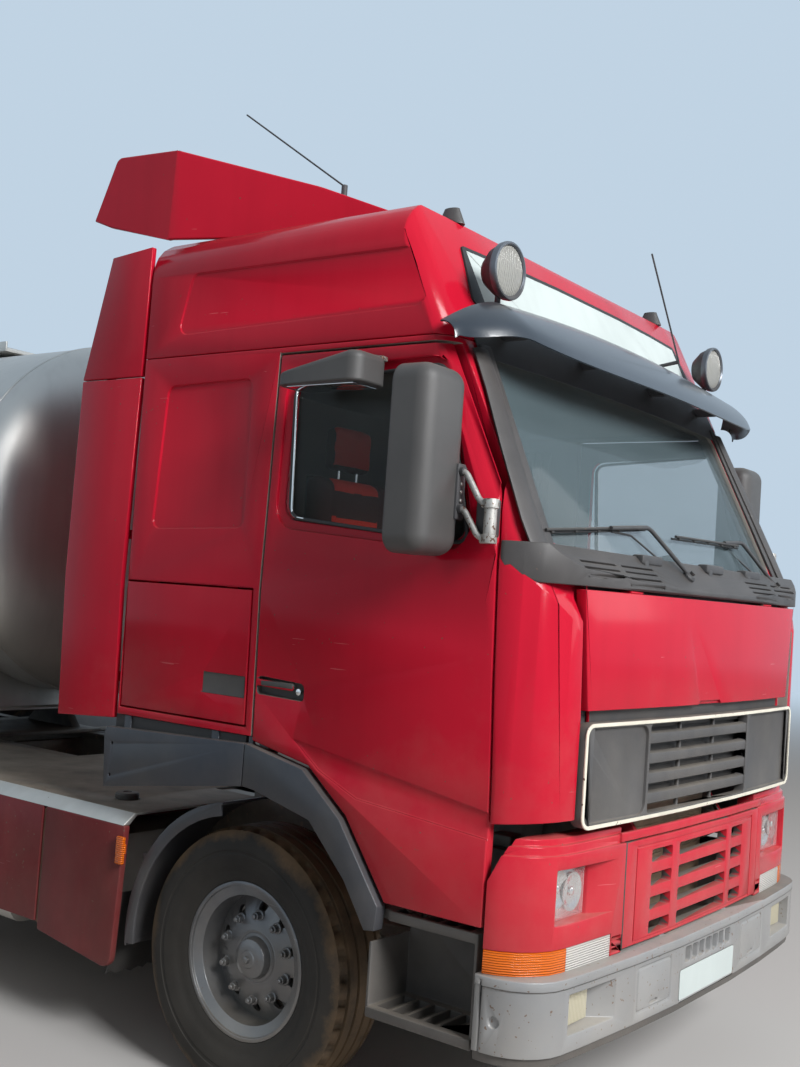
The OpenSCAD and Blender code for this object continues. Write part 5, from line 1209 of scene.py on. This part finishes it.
def round_edges(obj, radius, segments, test):
    """Bevels only those edges whose two ends pass a test."""
    only(obj)
    bpy.ops.object.mode_set(mode="EDIT")
    bpy.ops.mesh.select_mode(type="EDGE")
    bpy.ops.mesh.select_all(action="DESELECT")
    bpy.ops.object.mode_set(mode="OBJECT")
    corners = obj.data.vertices
    for edge in obj.data.edges:
        a, b = (corners[k].co for k in edge.vertices)
        edge.select = test(a, b)
    bpy.ops.object.mode_set(mode="EDIT")
    bpy.ops.mesh.bevel(offset=radius, segments=segments, affect="EDGES")
    bpy.ops.mesh.select_mode(type="VERT")
    bpy.ops.object.mode_set(mode="OBJECT")
    bpy.ops.object.shade_smooth_by_angle(angle=SMOOTH_BELOW)
    return obj


def bare_block(name, low, high, material):
    """A block with sharp edges, to be rounded edge by edge."""
    bpy.ops.object.select_all(action="DESELECT")
    low, high = Vector(low), Vector(high)
    bpy.ops.mesh.primitive_cube_add(size=1, location=(low + high) / 2)
    bpy.context.object.scale = high - low
    obj = made_now(name)
    obj.data.materials.append(material)
    return obj


mirror_shell = bare_block("mirror_shell", cab(800, -1500, 2080), cab(958, -1262, 2710), grey_plastic)
front_x = AXLE_X + 0.93
round_edges(mirror_shell, 0.062, 8, lambda a, b: a.x > front_x or b.x > front_x)
round_edges(mirror_shell, 0.010, 3, lambda a, b: a.x < AXLE_X + 0.801 and b.x < AXLE_X + 0.801)
arm_pieces = []
collar = [(0.0, -0.014), (0.0155, -0.014), (0.0155, 0.014), (0.0, 0.014)]
for z0, z1 in ((2364, 2260), (2240, 2144)):
    bent = [cab(950, -1300, z0 + 3), cab(985, -1300, z0), cab(1046, -1297, z1 + 6), cab(1086, -1291, z1 - 2)]
    arm_pieces.append(tube(f"mirror_arm_{z0}", bent, 0.011, worn_alu, sides=6))
    for x, z, metal in ((966, z0 + 2, black_plastic), (1070, z1, worn_alu)):
        middle = cab(x, -1300 if x < 1000 else -1293, z)
        arm_pieces.append(turned(f"mirror_collar_{x}_{z}", collar, middle, (1, 0, 0), metal, steps=20))
post = [(0, 2.130), (0.0245, 2.130), (0.0265, 2.134), (0.0265, 2.158), (0.0215, 2.160),
        (0.0215, 2.244), (0.0265, 2.246), (0.0265, 2.272), (0.0245, 2.276), (0, 2.276)]
arm_pieces.append(turned("mirror_post", post, (AXLE_X + 1.085, -1.290, 0), (0, 0, 1), worn_alu, steps=28))
arm_pieces.append(block("mirror_foot", cab(1022, -1284, 2152), cab(1092, -1236, 2278), black_plastic, 0.008, 3))
arm_pieces.append(block("mirror_clamp", cab(946, -1318, 2205), cab(966, -1270, 2392), black_plastic, 0.006, 2))
screw_head = [(0.007, 0.0), (0.007, 0.004), (0.004, 0.006), (0.0, 0.006)]
for z in (2268, 2296, 2324):
    arm_pieces.append(turned(f"mirror_screw_{z}", screw_head, cab(965, -1296, z), (1, 0, 0), worn_alu, steps=12))
arm_set = joined("mirror_arms_r", arm_pieces)
glass_pieces = []
for z0, z1 in ((2334, 2688), (2102, 2308)):
    low, high = z0 / 1000, z1 / 1000
    glass_pieces.append(flat_shape(f"mirror_glass_{z0}", -1.481, -1.283, low, high, 0.036, thick=0.004,
                                   material=mirror_glass, front=lambda y, z: AXLE_X + 0.7985))
    glass_pieces.append(flat_shape(f"mirror_rim_{z0}", -1.487, -1.277, low - 0.006, high + 0.006, 0.040, width=0.008,
                                   thick=0.010, material=black_rubber, front=lambda y, z: AXLE_X + 0.7955))
glass_set = joined("mirror_glasses_r", glass_pieces)

# the kerb mirror leans down over the window, thick at its front end and thin at its back end
kerb = bare_block("kerb_shell", cab(226, -1448, 2664), cab(604, -1262, 2774), grey_plastic)
round_edges(kerb, 0.048, 6, lambda a, b: abs(a.z - b.z) > 0.05)
round_edges(kerb, 0.026, 5, lambda a, b: a.z > 2.77 and b.z > 2.77)
round_edges(kerb, 0.008, 3, lambda a, b: a.z < 2.665 and b.z < 2.665)
KERB_BACK, KERB_LONG, KERB_FOOT = 0.226, 0.378, 2.664
for vertex in kerb.data.vertices:
    along = (vertex.co.x - AXLE_X - KERB_BACK) / KERB_LONG
    thin = 0.42 + 0.58 * min(1.0, along * 1.25)
    vertex.co.z = KERB_FOOT + (vertex.co.z - KERB_FOOT) * thin + 0.004 * along
kerb_glass = block("kerb_glass", cab(262, -1420, 2661), cab(572, -1292, 2667), mirror_glass, 0.002)
kerb_hinge = block("kerb_hinge", cab(452, -1300, 2762), cab(596, -1262, 2781), worn_alu, 0.006, 3)
kerb_arm = tube("kerb_arm", [cab(520, -1285, 2768), cab(520, -1250, 2776), cab(520, -1234, 2790)], 0.012,
                black_plastic)

mirror_shell.name = "mirror_housing_r"
right_mirror = [mirror_shell, arm_set, glass_set]
left_mirror = [copied(piece, piece.name[:-1] + "l", MIRROR_Y) for piece in right_mirror]
for side, body, mirror in (("r", "door_right", right_mirror), ("l", "door_left", left_mirror)):
    for piece in mirror:
        keep(piece, body)
    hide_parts("mirror_" + side)
keep(joined("kerb_mirror", [kerb, kerb_glass, kerb_hinge, kerb_arm]), "door_right")

# %% [markdown]
# Round each side window runs a black rubber seal, and at its rear edge a thin bright strip. The seal is a tube
# that follows the rounded outline of the glass on the leaning side of the cab.

# %% Window seals and bright strips
BELT_Z = 1.93


def side_y(z, depth=0.0):
    """How far out the cab's side stands at a height, in metres; it is widest at the belt."""
    lean = 0.020 * (z - BELT_Z) / 0.93 if z > BELT_Z else 0.015 * (BELT_Z - z) / 0.56
    return HALF - lean - depth


def corner_round(points, radius, steps=5):
    """A closed outline with its corners rounded."""
    count, line = len(points), []
    for k in range(count):
        a, b, c = (Vector(points[(k + d) % count]) for d in (-1, 0, 1))
        start, end = b + (a - b).normalized() * radius, b + (c - b).normalized() * radius
        line += [start.lerp(b, t / steps).lerp(b.lerp(end, t / steps), t / steps) for t in range(steps + 1)]
    return line


# distance ahead of the axle and height of each corner
strip_line = [(0.1255, 2.690), (0.150, 2.235), (0.156, 2.216), (0.172, 2.206), (0.215, 2.201)]
window_line = corner_round([(0.125, 2.712), (0.152, 2.205), (0.968, 2.128), (0.822, 2.755)], 0.06)
for side, s, body in (("r", -1, "door_right"), ("l", 1, "door_left")):
    seal_points = [Vector((AXLE_X + x, s * side_y(z, 0.0155), z)) for x, z in window_line]
    seal = tube("window_seal_" + side, seal_points + seal_points[:1], 0.0075, black_rubber, round_bends=False)
    strip_points = [Vector((AXLE_X + x + 0.010, s * side_y(z, 0.0125), z)) for x, z in strip_line]
    strip = tube("window_strip_" + side, strip_points, 0.0042, chrome)
    keep(joined("window_trim_" + side, [seal, strip]), body)

# %% [markdown]
# The door opens by a dark grip in its recess, and the bright barrel of its lock sits ahead of it.

# %% Door handles
HANDLE_Z = 1.56
for side, s, body in (("r", -1, "door_right"), ("l", 1, "door_left")):
    y = side_y(HANDLE_Z)
    barrel_line = [(0.012, -0.022), (0.012, -0.006), (0.008, -0.004), (0.0, -0.004)]
    barrel = turned("key_barrel_" + side, barrel_line, (AXLE_X + 0.262, s * y, HANDLE_Z), (0, s, 0), chrome, steps=20)
    grip_y0, grip_y1 = sorted((s * (y - 0.019), s * (y - 0.003)))
    grip = block("grip_" + side, (AXLE_X + 0.072, grip_y0, 1.566), (AXLE_X + 0.236, grip_y1, 1.588), black_plastic,
                 0.006, 3)
    keep(joined("handle_" + side, [grip, barrel]), body)

# %% [markdown]
# The sun visor is one bent sheet. Its grid runs across the cab and from the roof forward and down. It is deepest
# in the middle, its front edge draws back in an oval, and both ends dip to short tabs above the doors. A solidify
# gives it six millimetres. The same formula places the screws, and four blocks hold it from behind. A black
# strip that closes the space between the windscreen and the visor is painted shadow, standing for the visor's shade.

# %% Sun visor
# in millimetres: half its width, the length of each end tab, and the place of its edge on the roof
VISOR_HALF = 1251
END_TAB = 251
ROOF_EDGE_X, ROOF_EDGE_Z = 884, 2968


def visor_point(y, along):
    """A point on the visor's top, with along from 0 at the roof to 1 at the front edge."""
    far = abs(y)
    end = max(0.0, (far - VISOR_HALF + END_TAB) / END_TAB)
    dip = 118 * end ** 2
    rise = 34 * (1 - end ** 2) + 40 * max(0.0, 1 - (far / 1000) ** 2)
    back = ROOF_EDGE_X - 0.68 * dip
    reach = max(66.0, 690 + 440 * max(0.0, 1 - (far / 1261) ** 3.2) ** 0.30 - back)
    crown = 16 * (1 - (2 * along - 1) ** 2)
    lip = 10 * max(0.0, 4 * along - 3) ** 2
    x = back + reach * along - 0.3 * lip + 0.6 * crown
    z = ROOF_EDGE_Z + rise - 0.62 * dip - (0.80 * reach + 0.16 * rise) * along - lip + 0.8 * crown
    return cab(x, y, z)


def visor_grid(across, along):
    """The visor's point for a point of the grid, with the columns closer together towards the ends."""
    share = 2 * across
    return visor_point(VISOR_HALF * (1.25 * share - 0.25 * share ** 3), along + 0.5)


def shade_strip_grid(across, along):
    """A point of the black strip of painted shadow above the windscreen, which leans and bows as the glass does."""
    y, z = 2150 * across, 2881 + 150 * along
    return cab(902 - 0.487 * (z - 2820) - 31 * (y / 900) ** 2, y, z)


visor = sheet("sun_visor", 96, 12, visor_grid, visor_blue, 0.006)
face_out(visor)
bpy.ops.object.shade_smooth_by_angle(angle=BENT_SMOOTH)
holders = [block(f"visor_holder_{y}", cab(740, y, 2900), cab(930, y + 30, 2938), black_plastic, 0.005)
           for y in (-900, -330, 290, 860)]
SCREW_HEAD = [(0.009, -0.004), (0.009, 0.001), (0.006, 0.004), (0.0, 0.0045)]
END_WAY, TOP_WAY = (0.3, 0.95, 0.1), (0.62, 0, 0.78)    # the way a screw points on a tab and on the broad part
screws = []
for y, along, way in ((1238, 0.55, END_WAY), (840, 0.30, TOP_WAY), (640, 0.70, TOP_WAY), (330, 0.26, TOP_WAY),
                      (30, 0.72, TOP_WAY)):
    for s in (-1, 1):
        place, outward = visor_point(s * y, along), (way[0], s * way[1], way[2])
        screws.append(turned(f"visor_screw_{y}_{s}", SCREW_HEAD, place, outward, worn_alu, steps=14))
# a black sheet of painted shadow between the windscreen and the visor
shade_strip = sheet("visor_header", 32, 1, shade_strip_grid, black_plastic, 0.004)
visor = joined("sun_visor", [visor, shade_strip] + holders + screws)
keep(visor, "cab")
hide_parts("visor")

# %% [markdown]
# The corner post of the windscreen has a broad worn rubber cover. It is a grid laid between its two edge lines on
# the glass, arched a little across, thickened, and copied to the other side. The low seam between the
# cab and the wheel arch has a black strip, and the side marker is a tall amber lens.

# %% Corner covers, sill strip and side markers
outer_line = [(852, -1118, 2822), (925, -1132, 2671), (1027, -1168, 2455), (1140, -1196, 2217), (1192, -1192, 2110)]
inner_line = [(855, -1034, 2830), (926, -1040, 2690), (1030, -1072, 2468), (1146, -1098, 2225), (1203, -1100, 2112)]


def post_grid(across, along):
    """A point of the cover between its two edge lines, arched outward."""
    across, along = across + 0.5, (along + 0.5) * 4
    k = min(int(along), 3)
    edge_out = cab(*outer_line[k]).lerp(cab(*outer_line[k + 1]), along - k)
    edge_in = cab(*inner_line[k]).lerp(cab(*inner_line[k + 1]), along - k)
    arch = 0.007 + 0.010 * math.sin(math.pi * across)
    return edge_out.lerp(edge_in, across) + Vector((0.80, -0.35, 0.40)) * arch


post_cover = sheet("post_cover_r", 8, 24, post_grid, pillar_grey, 0.010, offset=0.0)
face_out(post_cover)
soften(post_cover, 0.003)
keep(copied(post_cover, "post_cover_l", MIRROR_Y), "cab")
keep(post_cover, "cab")
sills, markers = [], []
for s in (-1, 1):
    sills.append(block(f"sill_strip_{s}", *side_corners(s, (-752, 1190, 1288), (0, 1215, 1368)), black_rubber, 0.004))
    markers.append(block(f"marker_{s}", *side_corners(s, (-638, 1246, 772), (-594, 1264, 884)), amber_lens, 0.006, 3))
keep(joined("sill_strips", sills), "cab")
keep(joined("side_markers", markers), "tractor")
print("visor screws", len(screws))

# %% [markdown]
# The seats are foam under cloth, so they are made as that: each cushion starts a little too small, gets an even
# mesh by a voxel remesh, and is then blown up by cloth pressure with gravity off. What a point may move is
# capped, so that the cushion stays in the space of its solid. Channels and colour bands come after the swelling,
# and a subdivision smooths it. All cushions are simulated together.

# %% Padded seats and bunk
red_cloth = finish("red_cloth", (0.80, 0.045, 0.025), 0.9, tone=0.2, tone_size=0.25, dust=(0.5, 0.0, 0.05),
                   grain=(0.0008, 900.0))
seat_brown = finish("seat_brown", (0.060, 0.022, 0.020), 0.92, tone=0.25, tone_size=0.3, dust=(0.5, 0.0, 0.05),
                    grain=(0.0008, 900.0))

SEAT_Y = -600              # the middle of the right seat, in cab millimetres
SEAT_MID = SEAT_Y / 1000   # the same in metres
# name, low corner, high corner in cab millimetres, edge radius, voxel
cushion_rows = [
    ("seat_base", (-45, -848, 1735), (455, -352, 1852), 0.035, 0.016),
    ("seat_back", (-142, -845, 1862), (-52, -355, 2432), 0.034, 0.016),
    ("seat_head", (-146, -728, 2452), (-68, -472, 2640), 0.034, 0.012),
    ("mattress", (-672, -985, 1868), (-250, 985, 1985), 0.040, 0.022),
]
pads = []
for name, low, high, radius, voxel in cushion_rows:
    pad = block(name, cab(*low), cab(*high), seat_brown, radius, 4)
    mod = pad.modifiers.new("even", "REMESH")
    mod.mode = "VOXEL"
    mod.voxel_size = voxel
    apply_all(pad)
    pads.append(pad)
CAP = 0.016     # no point moves further than this
FRAMES = 20
starts = []
for pad in pads:
    starts.append([v.co.copy() for v in pad.data.vertices])
    cloth = pad.modifiers.new("swell", "CLOTH")
    cloth.settings.use_pressure = True
    cloth.settings.uniform_pressure_force = 4.0
    cloth.settings.quality = 4
    cloth.settings.effector_weights.gravity = 0.0
    cloth.point_cache.frame_start = 1
    cloth.point_cache.frame_end = FRAMES
for step in range(1, FRAMES + 1):
    scene.frame_set(step)
shapes = bpy.context.evaluated_depsgraph_get()
for pad, start in zip(pads, starts):
    swollen = [v.co.copy() for v in pad.evaluated_get(shapes).data.vertices]
    pad.modifiers.clear()
    for vertex, old, new in zip(pad.data.vertices, start, swollen):
        move = new - old
        if move.length > CAP:
            move *= CAP / move.length
        vertex.co = old + move
scene.frame_set(1)


CHANNEL = 0.014    # half the width of a sewn channel


def press_lines(pad, lines):
    """Sinks sewn channels into a cushion; each line is an axis number, a place on it and a depth in metres."""
    normals = [v.normal.copy() for v in pad.data.vertices]
    for vertex, normal in zip(pad.data.vertices, normals):
        sink = sum(depth * math.exp(-((vertex.co[axis] - at) / CHANNEL) ** 2) for axis, at, depth in lines)
        vertex.co -= normal * sink


base, back, head, mattress = pads
press_lines(base, [(1, SEAT_MID - 0.17, 0.008), (1, SEAT_MID + 0.17, 0.008), (0, AXLE_X + 0.10, 0.006),
                   (0, AXLE_X + 0.28, 0.006)])
press_lines(back, [(1, SEAT_MID - 0.16, 0.009), (1, SEAT_MID + 0.16, 0.009), (2, 2.20, 0.005), (2, 2.02, 0.005)])
press_lines(mattress, [(1, y, 0.006) for y in (-0.66, -0.33, 0.0, 0.33, 0.66)])
for pad in pads:
    mod = pad.modifiers.new("smooth", "SUBSURF")
    mod.levels = 1
    apply_all(pad)
    only(pad)
    bpy.ops.object.shade_smooth()
    pad.data.materials.append(red_cloth)
for pad in (back, head):
    for face in pad.data.polygons:
        c = face.center
        across = abs(c.y - SEAT_MID)
        top_band = c.z > 2.475 and across < 0.118 or 2.36 < c.z < 2.44 and across < 0.15
        low_band = 2.195 < c.z < 2.25 and across < 0.152
        if face.normal.x > 0.25 and (top_band or low_band):
            face.material_index = 1

frame_parts = [block("seat_stand", cab(20, -780, 1442), cab(400, -420, 1700), cabin_plastic, 0.02, 3),
               block("seat_pan", cab(-30, -835, 1690), cab(440, -365, 1742), cabin_plastic, 0.015, 3),
               block("seat_shell", cab(-150, -820, 1870), cab(-120, -380, 2420), cabin_plastic, 0.012, 3)]
for y in (-0.66, -0.54):
    frame_parts.append(tube(f"head_rod_{y}", [(AXLE_X - 0.105, y, 2.41), (AXLE_X - 0.105, y, 2.48)], 0.007, chrome))
for s in (-1, 1):
    arm_y = SEAT_Y + s * 262
    frame_parts.append(block(f"arm_rest_{s}", cab(-110, arm_y - 22, 1985), cab(200, arm_y + 22, 2030), cabin_plastic,
                             0.018, 3))
seat_frame = joined("seat_frame_r", frame_parts)
for pad, name in ((base, "seat_base"), (back, "seat_back"), (head, "seat_head")):
    twin = copied(pad, name + "_l", MIRROR_Y)
    pad.name = name + "_r"
    for one in (pad, twin):
        keep(one, "cab")
        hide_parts("seats")
other_frame = copied(seat_frame, "seat_frame_l", MIRROR_Y)
for one in (seat_frame, other_frame):
    keep(one, "cab")
keep(mattress, "cab")
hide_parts("seats")
bunk = block("bunk_box", cab(-685, -1000, 1442), cab(-235, 1000, 1866), cabin_plastic, 0.015, 3)
keep(bunk, "cab")
print("padded pieces", [(p.name, len(p.data.polygons)) for p in pads])

# %% [markdown]
# The cabin shows through two large windows, so it has two curtains drawn back behind the seats. Each is a sheet
# with deep even folds, made by moving the columns of a grid in and out, and flares a little towards its foot.

# %% Curtains behind the seats
CURTAIN_WIDE, CURTAIN_HIGH = 0.34, 0.92
FOLD_PITCH, FOLD_DEPTH = 0.052, 0.016
for s, name in ((-1, "curtain_r"), (1, "curtain_l")):
    bpy.ops.object.select_all(action="DESELECT")
    bpy.ops.mesh.primitive_grid_add(x_subdivisions=72, y_subdivisions=14, size=1, rotation=(math.pi / 2, 0, 0))
    bpy.context.object.scale = (CURTAIN_WIDE, CURTAIN_HIGH, 1)
    bpy.context.object.location = cab(-250, s * 1080, 2310)
    curtain = made_now(name)
    for vertex in curtain.data.vertices:
        fold = math.sin((vertex.co.x - AXLE_X) * 2 * math.pi / FOLD_PITCH)
        flare = 1.0 - 0.35 * (vertex.co.z - 1.85)
        vertex.co.y += fold * FOLD_DEPTH * flare
    curtain.data.materials.append(cabin_cloth)
    mod = curtain.modifiers.new("cloth", "SOLIDIFY")
    mod.thickness = 0.0025
    apply_all(curtain)
    only(curtain)
    bpy.ops.object.shade_smooth()
    keep(curtain, "cab")

# %% [markdown]
# The tank is one long turned shell with dished ends. Its CAD solid is made of short straight lines, which mirror as
# facets, so the shell is spun again from a fine outline of the same arcs. Five rolled bands and four flat
# weld seams go round it. The outlet under the rear end is cut free from the solid and kept.

# %% Tank shell, bands and outlet
TANK_R, TANK_LONG, TANK_HEAD, TANK_Z = 1.000, 9.800, 0.290, 2.250
tank_base = (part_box("tank")[0][0] + TANK_HEAD, 0, TANK_Z)
arc = [math.radians(3 * k) for k in range(1, 30)]
outline = [(0, -TANK_HEAD)] + [(TANK_R * math.sin(a), -TANK_HEAD * math.cos(a)) for a in arc] + [(TANK_R, 0.0)]
outline += [(TANK_R, TANK_LONG * k / 12) for k in range(1, 12)] + [(TANK_R, TANK_LONG)]
outline += [(TANK_R * math.sin(a), TANK_LONG + TANK_HEAD * math.cos(a))
            for a in reversed(arc)] + [(0, TANK_LONG + TANK_HEAD)]
shell = turned("tank_shell", outline, tank_base, (1, 0, 0), tank_steel, steps=128, angle=60)
# outlines of (radius, along the tank)
BAND = [(0.997, 0.0), (1.003, 0.001), (1.0055, 0.005), (1.006, 0.010), (1.006, 0.020), (1.0055, 0.025),
        (1.003, 0.029), (0.997, 0.030)]
WELD = [(0.998, 0.0), (1.0012, 0.002), (1.0012, 0.010), (0.998, 0.012)]
rings = []
for share in (0, 0.25, 0.5, 0.75, 1):
    rings.append((f"tank_band_{share}", BAND, TANK_LONG * share - 0.030 * share - 0.006 * (0.5 - share)))
for share in (0.125, 0.375, 0.625, 0.875):
    rings.append((f"tank_weld_{share}", WELD, TANK_LONG * share))
bands = []
for name, line, start in rings:
    place = (tank_base[0] + start, 0, TANK_Z)
    bands.append(turned(name, line, place, (1, 0, 0), tank_steel, steps=128, closed=True, angle=50))
outlet = copy_node("tank", "outlet_pipe", 0)
only(outlet)
bpy.ops.object.mode_set(mode="EDIT")
bpy.ops.mesh.select_all(action="SELECT")
bpy.ops.mesh.bisect(plane_co=(0, 0, 1.2435), plane_no=(0, 0, 1), clear_outer=True, use_fill=True)
bpy.ops.object.mode_set(mode="OBJECT")
outlet.data.materials.append(tank_steel)
bpy.ops.object.shade_smooth_by_angle(angle=SMOOTH_BELOW)
for piece in (shell, joined("tank_bands", bands), outlet):
    keep(piece, "trailer")
    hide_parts("tank")

# %% [markdown]
# Behind the front wheel hangs a worn rubber flap: a thin block cut into small squares, bent back at its foot, with
# a torn lower edge. A rusty strip closes the seam between the two skirts, a black filler cap stands in the deck
# on each side, and a thin pale tube lies on the front of the roof deflector.

# %% Flaps, strips, caps and ridge tube
FLAP_TOP, FLAP_HIGH = 0.64, 0.355
for s, name in ((-1, "flap_r"), (1, "flap_l")):
    flap = bare_block(name, *side_corners(s, (-662, 900, 285), (-654, 1200, 640)), black_rubber)
    bpy.ops.object.mode_set(mode="EDIT")
    bpy.ops.mesh.select_all(action="SELECT")
    bpy.ops.mesh.subdivide(number_cuts=11)
    bpy.ops.object.mode_set(mode="OBJECT")
    for vertex in flap.data.vertices:
        down = max(0.0, (FLAP_TOP - vertex.co.z) / FLAP_HIGH)
        vertex.co.x -= 0.05 * down ** 2 + 0.006 * math.sin(vertex.co.y * 31.0) * down
        if down > 0.98:
            vertex.co.z += 0.016 * abs(math.sin(vertex.co.y * 47.0))
            vertex.co.z += 0.03 * max(0.0, math.sin(vertex.co.y * 9.0 + 1.0))
    only(flap)
    bpy.ops.object.shade_smooth_by_angle(angle=BENT_SMOOTH)
    keep(flap, "tractor")
FILLER = [(0, -0.02), (0.040, -0.02), (0.040, 0.004), (0.051, 0.004), (0.052, 0.022), (0.047, 0.030),
          (0.020, 0.032), (0.018, 0.028), (0, 0.028)]
small_parts = []
for s in (-1, 1):
    small_parts.append(block(f"skirt_strip_{s}", *side_corners(s, (-1141, 1222, 425), (-1123, 1238, 915)), rust,
                             0.003, 1))
    small_parts.append(turned(f"filler_{s}", FILLER, cab(-900, s * 990, 968), (0, 0, 1), black_plastic, steps=28))
keep(joined("small_parts", small_parts), "tractor")
keep(tube("ridge_tube", [cab(462, -655, 3424), cab(388, -680, 3462)], 0.008, pale_trim), "cab")
print("small parts", len(small_parts))

# %% [markdown]
# The roof deflector has broad soft corners where its flat side turns to the tapered one. Those two upright edges
# are found by their place in the plan and rounded first, then all other edges get a small radius.

# %% Roof deflector
def corner_edge(a, b):
    """The upright edge where the deflector's flat side turns to the tapered one."""
    at_side = min(abs(a.y), abs(b.y)) > 1.145
    at_turn = max(abs(a.x - ahead(-730)), abs(b.x - ahead(-730))) < 0.012
    return at_side and at_turn and abs(a.z - b.z) > 0.08


deflector = copy_node("roof_deflector", "deflector")
deflector.data.materials.append(red_paint)
round_edges(deflector, 0.055, 6, corner_edge)
soften(deflector, 0.006, 3)
keep(deflector, "cab")
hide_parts("roof_deflector")

# %% The json module
import json
